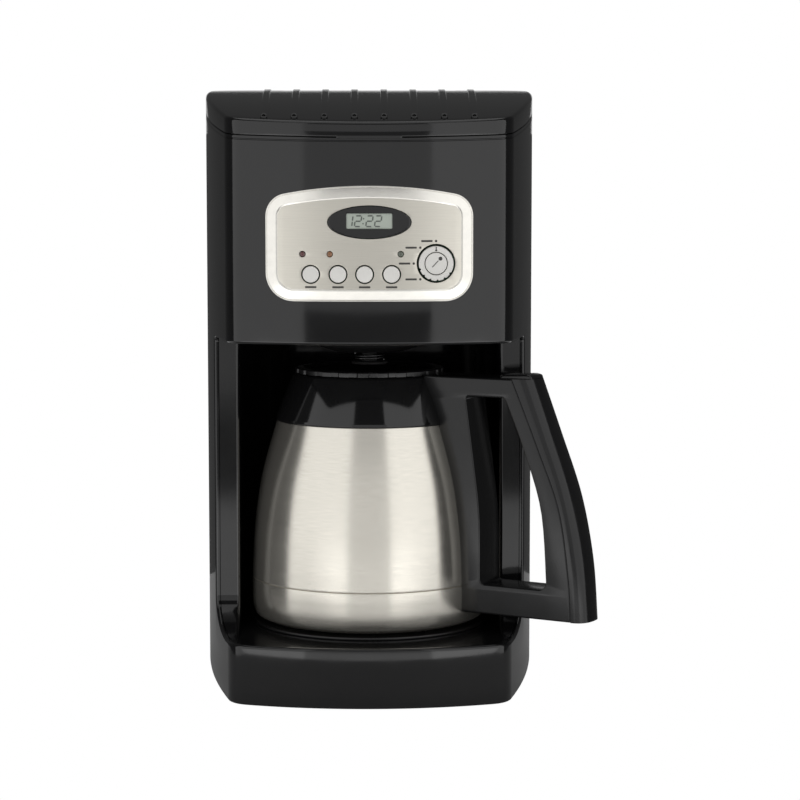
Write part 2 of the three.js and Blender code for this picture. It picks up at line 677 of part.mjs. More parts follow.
function carafeCollar() {
  return turned([
    [50, 152], [53.2, 152], [52.6, STEEL_TOP_Z + GAP], [57, STEEL_TOP_Z + GAP], [56.7, 163], [51.5, 176],
    [46.2, COLLAR_TOP_Z - 1], [45.5, COLLAR_TOP_Z], [42, COLLAR_TOP_Z], [42.2, 176], [50, 162], [50, 152],
  ], CARAFE_SIDES);
}

// The space that the carafe's body fills, with a little clearance for the handle.
function carafeEnvelope() {
  const steel = steelOutline(-0.4);
  return turned([
    [0, 30], [64.9, 30], ...steel, [57.4, STEEL_TOP_Z + 0.4], [57.1, 163.4], [51.9, 176.3], [46.2, 189.5],
    [46.2, 200], [0, 200],
  ], CARAFE_SIDES);
}

// Stands an outline drawn in (distance from the axis, height) up on the handle's own plane.
function onHandlePlane(points, thickness, holes = []) {
  return frontPrism(points, -thickness / 2, thickness / 2, holes)
    .rotate([0, 0, THREE.MathUtils.radToDeg(HANDLE_ANGLE)]);
}

function splinePoints(points, steps) {
  const curve = new THREE.SplineCurve(points.map(([a, b]) => new THREE.Vector2(a, b)));
  return curve.getPoints(steps).map((p) => [p.x, p.y]);
}

function carafeHandle() {
  const outline = [
    [40, 190.2], [40, 168], [60, 150], [60, 50.7], ...splinePoints(HANDLE_CREASE, 10).reverse(),
  ];
  const opening = [
    ...splinePoints(OPENING_INNER, 6),
    [84.5, OPENING_FLOOR_Z], [122, OPENING_FLOOR_Z],
    ...splinePoints(OPENING_OUTER, 6),
  ];
  return cut(onHandlePlane(outline, HANDLE_THICK, [opening]), carafeEnvelope());
}

// Crowned cover on the outside of the grip: full width at the crease, narrower at the spine.
function handleSpine() {
  const crease = splinePoints(HANDLE_CREASE, 10).map(([rho, z]) => [rho + GAP, z]);
  const middle = crease.map(([rho, z], i) => [rho + 5.5 + 0.12 * i, z]);
  const spine = splinePoints(HANDLE_SPINE, 10);
  const full = onHandlePlane([...middle, ...crease.slice().reverse()], HANDLE_THICK);
  const crown = onHandlePlane([...spine, ...crease.slice().reverse()], GRIP_THICK);
  const thumbRest = onHandlePlane([[89, 190.6], [112, 190.6], [112.4, 193], [90, 193.2]], GRIP_THICK);
  const bridge = onHandlePlane([[105, 188], [112, 188], [112, 191.5], [105, 191.5]], GRIP_THICK);
  const keepOff = onHandlePlane([[80, 150], [103.3, 150], [103.3, 190.5], [80, 190.5]], HANDLE_THICK + 5);
  return join(full, crown, cut(join(thumbRest, bridge), keepOff));
}

function carafeLid() {
  const plug = turned([
    [0, 172], [36.6, 172], [36.6, 188], [39.5, COLLAR_TOP_Z + GAP], [44.8, COLLAR_TOP_Z + GAP], [44.8, 192.2],
    [40, 192.6], [38, 190.8], [12, 189.6], [0, 189.4],
  ], CARAFE_SIDES);
  const teeth = Array.from({ length: 24 }, (_, i) => {
    return box(44, 46, -1, 1, 188, 194).rotate([0, 0, 15 * i + 4.5]);
  });
  const drain = rod(0, 0, 3, 150, 200, 12);
  return cut(plug, drain, ...teeth);
}

function buildCarafe() {
  addPart('carafe_shell', carafeShell(), STEEL());
  addPart('carafe_liner', carafeLiner(), STEEL());
  addPart('carafe_collar', carafeCollar(), GLOSS_BLACK());
  addPart('carafe_handle', carafeHandle(), GLOSS_BLACK());
  addPart('handle_spine_cover', handleSpine(), GLOSS_BLACK());
  addPart('carafe_lid', carafeLid(), SATIN_BLACK());
  addPart('carafe_lid_gasket', turned([
    [36.9, 174], [40.2, 174], [40.2, 177], [36.9, 177], [36.9, 174],
  ], CARAFE_SIDES), SILICONE());
}

buildCasing();
buildLid();
buildControls();
buildWater();
buildBasket();
buildCarafe();

const bounds = new THREE.Box3().setFromObject(group);
const middle = bounds.getCenter(new THREE.Vector3());
group.position.set(-middle.x, -middle.y, -bounds.min.z);
group.updateMatrixWorld(true);

export default group;
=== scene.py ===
"""Looks of a drip coffee maker with a steel thermal carafe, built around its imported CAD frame.

Lengths below are millimetres in the machine's own frame: X = 0 is its middle plane, the carafe stands
on X = Y = 0, the front faces -Y. place() turns them into the frame's metres.
"""

import math

import bmesh
import bpy
from mathutils import Matrix, Vector
from mathutils.geometry import tessellate_polygon


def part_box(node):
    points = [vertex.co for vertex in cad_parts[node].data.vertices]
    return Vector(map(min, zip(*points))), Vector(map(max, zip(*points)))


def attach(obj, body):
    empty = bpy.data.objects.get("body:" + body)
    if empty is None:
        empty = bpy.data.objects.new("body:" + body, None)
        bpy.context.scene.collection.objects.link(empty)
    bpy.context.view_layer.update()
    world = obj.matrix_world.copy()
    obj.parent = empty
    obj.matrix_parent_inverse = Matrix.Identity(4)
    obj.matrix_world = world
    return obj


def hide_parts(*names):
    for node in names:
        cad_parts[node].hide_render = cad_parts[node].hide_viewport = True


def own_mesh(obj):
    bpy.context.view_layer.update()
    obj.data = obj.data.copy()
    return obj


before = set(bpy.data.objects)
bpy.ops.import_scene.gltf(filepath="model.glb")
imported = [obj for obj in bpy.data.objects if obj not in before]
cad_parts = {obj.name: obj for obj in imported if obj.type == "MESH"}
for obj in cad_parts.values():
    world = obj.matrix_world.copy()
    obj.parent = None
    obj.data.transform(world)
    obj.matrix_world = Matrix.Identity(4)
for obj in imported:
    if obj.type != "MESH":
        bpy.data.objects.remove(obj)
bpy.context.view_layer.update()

# ------------------------------------------------------------------ driving dimensions

MM = 0.001

# Plan outline of the machine: bowed front, flared sides, flat back, round corners
FRONT_Y, FRONT_R, FRONT_CORNER_R = -95.0, 220.0, 17.0
SIDE_X, SIDE_Y, SIDE_R = 102.7, 99.0, 730.0
REAR_Y, REAR_CORNER_R = 134.0, 30.0

# Heights
BASE_Z, DECK_Z, HEAD_Z = 3.0, 38.0, 212.3
SEAM_FRONT_Z, SEAM_SLOPE, RIM_FLAT_Y = 329.5, 0.115, 120.0
LID_FRONT_Z, LID_RISE, LID_DROP = 337.9, 0.175, 0.000301
WALL, GAP = 2.5, 0.3

# Niche for the carafe, and the sweep that brings its cheeks forward onto the deck
NICHE_HALF, NICHE_FRONT_Y, NICHE_BACK_Y, NICHE_CORNER_R = 77.5, -24.0, 78.0, 58.0
SWEEP_LENGTH, SWEEP_HEIGHT = 43.0, 19.0
RIM_ROUND, RIM_CORNER = 1.8, 3.0
CHEEK_ROUND = 2.5

# Slot of the water level window in the left wall, and the cord gland in the back
SLOT_Y, SLOT_Z = (92.0, 101.0), (90.0, 300.0)
GLAND_X, GLAND_Z, GLAND_R = -62.0, 20.0, 6.3

# Lid and hinge
HINGE_Y, HINGE_Z, EAR_X, HINGE_REACH = 131.0, 359.2, (50.0, 56.0), 70.0
LID_ROUND, TAB_HALF = 2.0, 18.5
RIB_FRONT, RIB_REAR, RIB_PITCH_FRONT, RIB_PITCH_REAR = 8.4, 9.5, 17.1, 18.8
RIB_Y, RIB_HALF, RIB_HEIGHT = (-79.0, 128.0), 2.2, 0.8
BEAD_LEAN = math.radians(50)

# Control panel
PANEL_HALF, PANEL_BOTTOM, PANEL_TOP, PANEL_RIM = 58.8, 237.2, 302.4, 7.0
PANEL_LOWER_R, PANEL_UPPER_R, PANEL_ARCH_R = 16.0, 13.0, 264.8
PANEL_UPPER_Z = 285.2
HOLE_HALF, HOLE_Z = 52.0, (243.0, 295.5)
PLATE_PROUD, BUTTON_PROUD, KNOB_PROUD = 1.2, 2.6, 4.2
WINDOW_Z, WINDOW_HALF = 281.9, (23.8, 9.45)
LCD_Z, LCD_HALF, LCD_FACE_Y = 282.5, (13.0, 4.4), -95.4
BUTTON_X, BUTTON_Z, BUTTON_R = (-33.1, -17.7, -2.7, 12.5), 252.6, 4.6
LED_X, LED_Z, LED_R = (-37.7, -22.3, 17.6), 264.0, 1.5
KNOB_X, KNOB_Z, KNOB_R, KNOB_BORE, ON_OFF_R = 37.6, 258.7, 9.8, 6.5, 6.1
BUTTON_GAP, KNOB_GAP = 0.75, 1.15

# Carafe: the steel wall as (radius, height), the handle as (distance from the axis, height)
CARAFE_BASE_Z, STEEL_TOP_Z, COLLAR_TOP_Z = 39.9, 160.7, 189.0
STEEL_WALL = [
    (64.5, 41.2), (69.2, 43.6), (71.0, 49), (71.4, 57), (71.2, 68), (69.6, 98), (64.9, 129),
    (55.9, STEEL_TOP_Z)]
SEAM_GROOVE_Z = 66.0
COLLAR_WALL = [(57, 161), (56.7, 163), (51.5, 176), (46.2, 188), (45.5, 189)]
REST_R = 70.0
HANDLE_ANGLE, HANDLE_THICK, GRIP_THICK = math.radians(-30.5), 25.0, 16.0
HANDLE_CREASE = [(102.9, 190.2), (119.3, 152.3), (133.8, 115.6), (140, 77.3), (141.4, 50.7)]
HANDLE_SPINE = [(114.6, 190.2), (125.8, 160.8), (139.2, 124.2), (147.3, 87.4), (150.5, 50.7)]
OPENING_INNER = [(72.5, 179), (78.2, 138.9), (81.9, 108.5), (82.3, 70)]
OPENING_OUTER = [(125.6, 71), (121.9, 114.7), (109.7, 151.7), (98.1, 179)]
OPENING_FLOOR_Z = 68.0

COLUMN_STEP = 1.5

# ------------------------------------------------------------------ placing and building meshes

_low, _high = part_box("main_housing")
MIDDLE_X = (_low.x + _high.x) / 2
_low, _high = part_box("carafe_rest_plate")
AXIS_Y = (_low.y + _high.y) / 2


def place(point):
    """A point of the machine's own frame, in the frame's metres."""
    x, y, z = point
    return Vector((x * MM + MIDDLE_X, y * MM + AXIS_Y, z * MM))


def piece(name, parts, material, body, replaces=(), smooth=38):
    """One object from (points, faces) parts, welded, shaded smooth up to an angle, riding on a body."""
    points, faces = [], []
    for part_points, part_faces in parts:
        start = len(points)
        points += [place(p) for p in part_points]
        faces += [[i + start for i in face] for face in part_faces]
    mesh = bpy.data.meshes.new(name)
    mesh.from_pydata(points, [], faces)
    tidy = bmesh.new()
    tidy.from_mesh(mesh)
    bmesh.ops.remove_doubles(tidy, verts=tidy.verts, dist=0.005 * MM)
    bmesh.ops.dissolve_degenerate(tidy, edges=tidy.edges, dist=0.001 * MM)
    bmesh.ops.recalc_face_normals(tidy, faces=tidy.faces)
    tidy.to_mesh(mesh)
    tidy.free()
    mesh.shade_smooth()
    mesh.set_sharp_from_angle(angle=math.radians(smooth))
    mesh.materials.append(material)
    made = bpy.data.objects.new(name, mesh)
    bpy.context.scene.collection.objects.link(made)
    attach(made, body)
    if replaces:
        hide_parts(*replaces)
    return made


def grid(rows, around=False):
    """Quads between neighbouring rows of points; around closes each row on itself."""
    width = len(rows[0])
    points = [p for row in rows for p in row]
    faces = []
    for i in range(len(rows) - 1):
        for j in range(width if around else width - 1):
            k = (j + 1) % width
            faces.append((i * width + j, i * width + k, (i + 1) * width + k, (i + 1) * width + j))
    return points, faces


def moved(part, change):
    points, faces = part
    return [change(p) for p in points], faces


def lathe(profile, sides=96):
    """A profile of (radius, height) turned about Z."""
    turns = [2 * math.pi * i / sides for i in range(sides)]
    return grid([[(r * math.cos(a), r * math.sin(a), h) for a in turns] for r, h in profile], around=True)


def facing_front(part, x, z):
    """Turns a part made about Z so that its height points out of the front at (x, z)."""
    return moved(part, lambda p: (x + p[0], -p[2], z + p[1]))


def rounded(points, radius, steps=4, closed=False):
    """The polyline with an arc in each corner, of that radius or as large as fits."""
    found = []
    for i, corner in enumerate(points):
        if not closed and i in (0, len(points) - 1):
            found.append(tuple(corner))
            continue
        p = Vector(corner)
        before = Vector(points[i - 1]) - p
        after = Vector(points[(i + 1) % len(points)]) - p
        half = before.angle(after) / 2
        if half > math.radians(85):
            found.append(tuple(corner))
            continue
        reach = min(radius / math.tan(half), 0.45 * before.length, 0.45 * after.length)
        start, end = p + before.normalized() * reach, p + after.normalized() * reach
        bisector = (before.normalized() + after.normalized()).normalized()
        centre = p + bisector * (reach / math.cos(half))
        for k in range(steps + 1):
            share = k / steps
            arm = (start - centre).lerp(end - centre, share)
            found.append(tuple(centre + arm.normalized() * (start - centre).length))
    return found


def arc(cx, cy, radius, start, end, steps):
    turns = [start + (end - start) * i / steps for i in range(steps + 1)]
    return [(cx + radius * math.cos(a), cy + radius * math.sin(a)) for a in turns]


def circle(cx, cy, radius, sides=48):
    return arc(cx, cy, radius, 0, 2 * math.pi, sides)[:-1]


def ellipse(cx, cy, a, b, sides=96):
    return [(cx + a * u, cy + b * v) for u, v in circle(0, 0, 1, sides)]


def spline(stops, steps):
    """Points of a smooth curve through the stops."""
    found = []
    last = len(stops) - 1
    for i in range(steps + 1):
        t = last * i / steps
        k = min(int(t), last - 1)
        t -= k
        before, here, there, after = (Vector(stops[min(max(k + n, 0), last)]) for n in (-1, 0, 1, 2))
        leave, arrive = (there - before) / 2, (after - here) / 2
        found.append(tuple(
            (2 * t ** 3 - 3 * t ** 2 + 1) * here + (t ** 3 - 2 * t ** 2 + t) * leave
            + (3 * t ** 2 - 2 * t ** 3) * there + (t ** 3 - t ** 2) * arrive))
    return found


def area(points):
    return sum(a[0] * b[1] - b[0] * a[1] for a, b in zip(points, points[1:] + points[:1])) / 2


def drawn_in(points, amount):
    """A closed outline moved to its left by amount."""
    found = []
    for i, p in enumerate(points):
        before = (Vector(p) - Vector(points[i - 1])).normalized()
        after = (Vector(points[(i + 1) % len(points)]) - Vector(p)).normalized()
        normal = Vector((-before.y - after.y, before.x + after.x)).normalized()
        lean = max(normal.dot(Vector((-before.y, before.x))), 0.5)
        found.append(tuple(Vector(p) + normal * (amount / lean)))
    return found


def plate(outline, holes, low, high, bevel, steps=3):
    """A flat plate over the XY plane with rounded edges all round and round its holes."""
    loops = [outline if area(outline) > 0 else outline[::-1]]
    loops += [hole if area(hole) < 0 else hole[::-1] for hole in holes]
    turns = [0.5 * math.pi * i / steps for i in range(steps + 1)]
    edge = [(bevel * (1 - math.sin(t)), low + bevel * (1 - math.cos(t))) for t in turns]
    edge += [(inset, low + high - z) for inset, z in reversed(edge)]
    points, faces = [], []
    for loop in loops:
        rows = [[(*p, z) for p in drawn_in(loop, inset)] for inset, z in edge]
        side_points, side_faces = grid(rows, around=True)
        faces += [[i + len(points) for i in face] for face in side_faces]
        points += side_points
    for z in (low, high):
        caps = [[Vector((*p, z)) for p in drawn_in(loop, bevel)] for loop in loops]
        faces += [[i + len(points) for i in face] for face in tessellate_polygon(caps)]
        points += [tuple(p) for cap in caps for p in cap]
    return points, faces


def sliced(part, step):
    """The part with its faces cut along planes of constant X, so that it can be bent."""
    bm = bmesh.new()
    made = [bm.verts.new(p) for p in part[0]]
    for face in part[1]:
        if len({tuple(part[0][i]) for i in face}) > 2:
            bm.faces.new([made[i] for i in face])
    low, high = min(p[0] for p in part[0]), max(p[0] for p in part[0])
    count = math.ceil((high - low) / step)
    for i in range(1, count):
        x = low + (high - low) * i / count
        everything = bm.verts[:] + bm.edges[:] + bm.faces[:]
        bmesh.ops.bisect_plane(bm, geom=everything, plane_co=(x, 0, 0), plane_no=(1, 0, 0))
    bm.verts.index_update()
    result = [tuple(v.co) for v in bm.verts], [[v.index for v in f.verts] for f in bm.faces]
    bm.free()
    return result


def front_depth(x, inset=0.0):
    return FRONT_Y + FRONT_R - math.sqrt((FRONT_R - inset) ** 2 - x * x)


def onto_front(part):
    """Lays a part drawn as (X, height, proud) on the bowed front of the machine."""
    return moved(part, lambda p: (p[0], front_depth(p[0], -p[2]), p[1]))


# ------------------------------------------------------------------ plan outline

def touching(c1, r1, c2, r2, r):
    """Centre of a circle of radius r that touches two larger circles from inside, on the +X side."""
    d1, d2 = r1 - r, r2 - r
    dx, dy = c2[0] - c1[0], c2[1] - c1[1]
    d = math.hypot(dx, dy)
    along = (d1 * d1 - d2 * d2 + d * d) / (2 * d)
    off = math.sqrt(d1 * d1 - along * along)
    return c1[0] + (along * dx - off * dy) / d, c1[1] + (along * dy + off * dx) / d


def arc_piece(centre, radius, start, end):
    def at(share, inset):
        angle = start + (end - start) * share
        return centre[0] + (radius - inset) * math.cos(angle), centre[1] + (radius - inset) * math.sin(angle)
    return abs(radius * (end - start)), at


def line_piece(start, end, normal):
    def at(share, inset):
        return tuple(a + (b - a) * share - n * inset for a, b, n in zip(start, end, normal))
    return math.dist(start, end), at


FRONT_CENTRE = (0.0, FRONT_Y + FRONT_R)
SIDE_CENTRE = (SIDE_X - SIDE_R, SIDE_Y)
REAR_CENTRE = (SIDE_X - REAR_CORNER_R, REAR_Y - REAR_CORNER_R)
CORNER_CENTRE = touching(FRONT_CENTRE, FRONT_R, SIDE_CENTRE, SIDE_R, FRONT_CORNER_R)
TO_FRONT = math.atan2(CORNER_CENTRE[1] - FRONT_CENTRE[1], CORNER_CENTRE[0] - FRONT_CENTRE[0])
TO_SIDE = math.atan2(CORNER_CENTRE[1] - SIDE_CENTRE[1], CORNER_CENTRE[0] - SIDE_CENTRE[0])
PLAN = [
    arc_piece(FRONT_CENTRE, FRONT_R, -math.pi / 2, TO_FRONT),
    arc_piece(CORNER_CENTRE, FRONT_CORNER_R, TO_FRONT, TO_SIDE),
    arc_piece(SIDE_CENTRE, SIDE_R, TO_SIDE, 0.0),
    line_piece((SIDE_X, SIDE_Y), (SIDE_X, REAR_CENTRE[1]), (1, 0)),
    arc_piece(REAR_CENTRE, REAR_CORNER_R, 0.0, math.pi / 2),
    line_piece((REAR_CENTRE[0], REAR_Y), (0.0, REAR_Y), (0, 1)),
]
JOINS = [sum(length for length, _ in PLAN[:i]) for i in range(len(PLAN) + 1)]
HALF_ROUND = JOINS[-1]


def plan_point(s, inset=0.0):
    """The outline at arc length s: 0 is the middle of the front, positive s goes round by +X."""
    s = (s + HALF_ROUND) % (2 * HALF_ROUND) - HALF_ROUND
    side = -1 if s < 0 else 1
    s = min(abs(s), HALF_ROUND - 1e-9)
    k = max(i for i in range(len(PLAN)) if JOINS[i] <= s)
    length, at = PLAN[k]
    x, y = at((s - JOINS[k]) / length, inset)
    return side * x, y


def side_station(y):
    """Arc length at which the outline's side passes y."""
    if y > SIDE_Y:
        return JOINS[3] + y - SIDE_Y
    return JOINS[2] + SIDE_R * (math.asin((y - SIDE_Y) / SIDE_R) - TO_SIDE)


def front_station(x):
    return FRONT_R * math.asin(x / FRONT_R)


def stations(breaks, step=COLUMN_STEP):
    """Arc lengths from the first break to the last, evenly spaced between neighbouring breaks."""
    found = [breaks[0]]
    for start, end in zip(breaks, breaks[1:]):
        count = max(1, math.ceil(abs(end - start) / step))
        found += [start + (end - start) * (i + 1) / count for i in range(count)]
    return found


def on_skin(s, z, inset=0.0):
    return (*plan_point(s, inset), z)


def seam_z(y):
    return SEAM_FRONT_Z + SEAM_SLOPE * (y - FRONT_Y)


def lid_top_z(y):
    u = y - FRONT_Y
    return LID_FRONT_Z + LID_RISE * u - LID_DROP * u * u


# ------------------------------------------------------------------ materials

def material_of(name):
    """A new node material, its node tree and its Principled shader."""
    made = bpy.data.materials.new(name)
    made.use_nodes = True
    return made, made.node_tree, made.node_tree.nodes["Principled BSDF"]


def node(tree, kind, inputs=(), **settings):
    """Adds a node; inputs maps a socket's name or number to a value or to another socket."""
    made = tree.nodes.new(kind)
    for key, value in settings.items():
        setattr(made, key, value)
    for key, value in dict(inputs).items():
        if isinstance(value, bpy.types.NodeSocket):
            tree.links.new(value, made.inputs[key])
        else:
            made.inputs[key].default_value = value
    return made


def where(tree):
    return node(tree, "ShaderNodeTexCoord").outputs["Object"]


def noise(tree, scale, detail=3.0, stretch=(1, 1, 1), vector=None):
    """Noise over the object's own metres; stretch scales each axis on its own."""
    spread = node(tree, "ShaderNodeMapping", {"Vector": vector or where(tree), "Scale": stretch})
    return node(tree, "ShaderNodeTexNoise", {
        "Vector": spread.outputs[0], "Scale": scale, "Detail": detail}).outputs["Fac"]


def between(tree, share, low, high):
    """A number that goes from low to high as share goes over the middle of its range."""
    return node(tree, "ShaderNodeMapRange", {
        "Value": share, "From Min": 0.3, "From Max": 0.7, "To Min": low, "To Max": high}).outputs[0]


def blend_colours(tree, share, first, second):
    ramp = node(tree, "ShaderNodeValToRGB", {"Fac": share})
    ramp.color_ramp.elements[0].position = 0.3
    ramp.color_ramp.elements[1].position = 0.7
    ramp.color_ramp.elements[0].color = (*first, 1)
    ramp.color_ramp.elements[1].color = (*second, 1)
    return ramp.outputs["Color"]


def add_bump(tree, shader, height, strength, distance):
    bump = node(tree, "ShaderNodeBump", {"Height": height, "Strength": strength, "Distance": distance * MM})
    tree.links.new(bump.outputs[0], shader.inputs["Normal"])


def plastic(name, colour, roughness, grain=900.0, bump=0.1, coat=0.0, spread=0.15, specular=0.5):
    """Moulded plastic: faint cloudiness, uneven gloss and a fine moulded grain."""
    made, tree, shader = material_of(name)
    darker = tuple(c * (1 - spread) for c in colour)
    tree.links.new(blend_colours(tree, noise(tree, 35.0), darker, colour), shader.inputs["Base Color"])
    low, high = roughness * 0.85, roughness * 1.2
    tree.links.new(between(tree, noise(tree, 60.0, 4.0), low, high), shader.inputs["Roughness"])
    add_bump(tree, shader, noise(tree, grain, 2.0), bump, 0.05)
    shader.inputs["Coat Weight"].default_value = coat
    shader.inputs["Coat Roughness"].default_value = 0.05
    shader.inputs["Specular IOR Level"].default_value = specular
    return made


def metal(name, colour, roughness, streaks, bump=0.2, anisotropic=0.0, around=False, contrast=0.14,
          metallic=1.0):
    """Metal with fine streaks: streaks scales the noise along X, Y and Z (or angle, a zero middle axis and
    Z).
    """
    made, tree, shader = material_of(name)
    vector = around_carafe(tree) if around else where(tree)
    fine = noise(tree, 1.0, 4.0, streaks, vector)
    broad = noise(tree, 1.0, 2.0, tuple(s * 0.12 for s in streaks), vector)
    darker = tuple(c * (1 - contrast) for c in colour)
    tree.links.new(blend_colours(tree, fine, darker, colour), shader.inputs["Base Color"])
    tree.links.new(between(tree, broad, roughness * 0.92, roughness * 1.08), shader.inputs["Roughness"])
    shader.inputs["Metallic"].default_value = metallic
    shader.inputs["Anisotropic"].default_value = anisotropic
    shader.inputs["Anisotropic Rotation"].default_value = 0.25
    if around:
        tangent = node(tree, "ShaderNodeTangent", direction_type="RADIAL", axis="Z")
        tree.links.new(tangent.outputs[0], shader.inputs["Tangent"])
    add_bump(tree, shader, fine, bump, 0.02)
    return made


def around_carafe(tree):
    """Angle about the carafe's axis, a zero middle component and height, with the angle's jump at the back.
    """
    centred = node(tree, "ShaderNodeVectorMath", {0: where(tree), 1: (MIDDLE_X, AXIS_Y, 0)},
                   operation="SUBTRACT")
    axes = node(tree, "ShaderNodeSeparateXYZ", {0: centred.outputs[0]})
    forward = node(tree, "ShaderNodeMath", {0: axes.outputs["Y"], 1: -1.0}, operation="MULTIPLY")
    angle = node(tree, "ShaderNodeMath", {0: axes.outputs["X"], 1: forward.outputs[0]}, operation="ARCTAN2")
    joined = node(tree, "ShaderNodeCombineXYZ", {0: angle.outputs[0], 2: axes.outputs["Z"]})
    return joined.outputs[0]


def lens(name, colour, roughness=0.12):
    """A tinted indicator lens with fine prisms moulded inside."""
    made, tree, shader = material_of(name)
    lighter = tuple(min(1.0, c * 1.5 + 0.01) for c in colour)
    prisms = noise(tree, 1400.0, 1.0)
    tree.links.new(blend_colours(tree, prisms, colour, lighter), shader.inputs["Base Color"])
    tree.links.new(between(tree, noise(tree, 700.0), roughness, roughness * 1.6), shader.inputs["Roughness"])
    add_bump(tree, shader, noise(tree, 2500.0, 1.0), 0.25, 0.03)
    shader.inputs["Coat Weight"].default_value = 0.6
    return made


def clear_plastic(name, tint):
    """Clear moulded plastic with faint flow marks."""
    made, tree, shader = material_of(name)
    flow = noise(tree, 1.0, 3.0, (60, 60, 12))
    darker = tuple(c * 0.93 for c in tint)
    tree.links.new(blend_colours(tree, flow, darker, tint), shader.inputs["Base Color"])
    tree.links.new(between(tree, flow, 0.06, 0.12), shader.inputs["Roughness"])
    shader.inputs["Transmission Weight"].default_value = 0.75
    shader.inputs["IOR"].default_value = 1.49
    add_bump(tree, shader, flow, 0.1, 0.05)
    return made


def rubber(name, colour, roughness=0.75):
    """Matt rubber or silicone with a fine pitted skin."""
    made, tree, shader = material_of(name)
    tree.links.new(blend_colours(tree, noise(tree, 120.0, 5.0), tuple(c * 0.8 for c in colour), colour),
                   shader.inputs["Base Color"])
    tree.links.new(between(tree, noise(tree, 400.0), roughness * 0.9, roughness * 1.1),
                   shader.inputs["Roughness"])
    add_bump(tree, shader, noise(tree, 1500.0, 4.0), 0.3, 0.05)
    return made


def board(name):
    """Circuit board: green mask with lighter copper tracks under it."""
    made, tree, shader = material_of(name)
    tracks = node(tree, "ShaderNodeTexBrick", {
        "Vector": where(tree), "Color1": (0.02, 0.16, 0.07, 1), "Color2": (0.03, 0.22, 0.1, 1),
        "Mortar": (0.12, 0.36, 0.16, 1), "Scale": 160.0, "Mortar Size": 0.012})
    tree.links.new(tracks.outputs["Color"], shader.inputs["Base Color"])
    tree.links.new(between(tree, noise(tree, 500.0), 0.35, 0.5), shader.inputs["Roughness"])
    add_bump(tree, shader, tracks.outputs["Fac"], 0.2, 0.05)
    return made


GLOSS_BLACK = plastic("gloss_black_plastic", (0.0065, 0.0065, 0.0068), 0.09, 500.0, 0.015)
SATIN_BLACK = plastic("satin_black_plastic", (0.010, 0.010, 0.0102), 0.30, 1600.0, 0.3)
CARAFE_STEEL = metal("brushed_carafe_steel", (0.73, 0.70, 0.63), 0.25, (7.0, 1.0, 2600.0), bump=0.0,
                     anisotropic=0.6, around=True, contrast=0.09, metallic=0.9)
LINER_STEEL = metal("drawn_liner_steel", (0.66, 0.65, 0.62), 0.22, (5.0, 1.0, 900.0), 0.05, 0.0, True)
PANEL_METAL = metal("brushed_panel_metal", (0.63, 0.605, 0.54), 0.34, (60.0, 60.0, 5000.0), bump=0.05,
                    contrast=0.09)
FRAME_METAL = metal("satin_frame_metal", (0.80, 0.78, 0.73), 0.24, (250.0, 250.0, 250.0), bump=0.01,
                    contrast=0.05)
BUTTON_SILVER = plastic("silver_button_plastic", (0.66, 0.65, 0.62), 0.3, 1800.0, 0.12, 0.2, 0.06)
# Painted shade: the spring's steel is coloured dark to dim its highlights and stand in for the shade under
# the basket; real spring steel is lighter
SHADE_DARK_SPRING_STEEL = metal("spring_steel_painted_dark_as_shade", (0.20, 0.20, 0.20), 0.4, (900.0, 900.0, 900.0), 0.1)
SCREW_STEEL = metal("plated_screw_steel", (0.6, 0.6, 0.6), 0.25, (900.0, 900.0, 900.0), 0.1)
ALUMINIUM = metal("extruded_aluminium", (0.62, 0.63, 0.64), 0.33, (900.0, 60.0, 900.0), 0.2)
HANDLE_BLACK = plastic("satin_gloss_handle_plastic", (0.008, 0.008, 0.0083), 0.17, 1500.0, 0.12,
                       specular=0.36)
BLACK_RUBBER = rubber("black_rubber", (0.022, 0.022, 0.022))
SILICONE = rubber("milky_silicone", (0.62, 0.6, 0.54), 0.5)
WHITE_PLASTIC = plastic("white_filter_plastic", (0.72, 0.72, 0.69), 0.42, 900.0, 0.2)
LEVEL_WINDOW = clear_plastic("clear_window_plastic", (0.62, 0.67, 0.68))
LCD_GREY = plastic("lcd_grey_film", (0.36, 0.40, 0.35), 0.22, 3000.0, 0.05, 0.6, 0.05)
LCD_INK = plastic("lcd_digit_grey", (0.085, 0.095, 0.085), 0.3, 3000.0, 0.05)
PRINT_GREY = plastic("printed_mark_grey", (0.035, 0.033, 0.03), 0.55, 3000.0, 0.1)
RED_LENS = lens("red_lens", (0.055, 0.010, 0.010))
AMBER_LENS = lens("amber_lens", (0.15, 0.060, 0.018))
GREEN_LENS = lens("green_lens", (0.060, 0.070, 0.052))
BOARD_GREEN = board("green_circuit_board")

# ------------------------------------------------------------------ casing

LOWER_ROWS = (GLAND_Z - GLAND_R, GLAND_Z + GLAND_R)
BASE_ROUND = 1.5
UPRIGHT_ROWS = (SLOT_Z[0], 130.0, 170.0)
UPPER_ROWS = (HOLE_Z[0], 260.0, 278.0, HOLE_Z[1], SLOT_Z[1])
SWEEP_STEPS = 28
PANEL_STATION = front_station(HOLE_HALF)


def sweep_point(angle):
    """(y, z) of the sweep: it leaves the deck at 1.5 pi and runs up into the niche's upright edge at pi."""
    y = NICHE_FRONT_Y - SWEEP_LENGTH * (1 + math.cos(angle))
    return y, DECK_Z + SWEEP_HEIGHT * (1 + math.sin(angle))


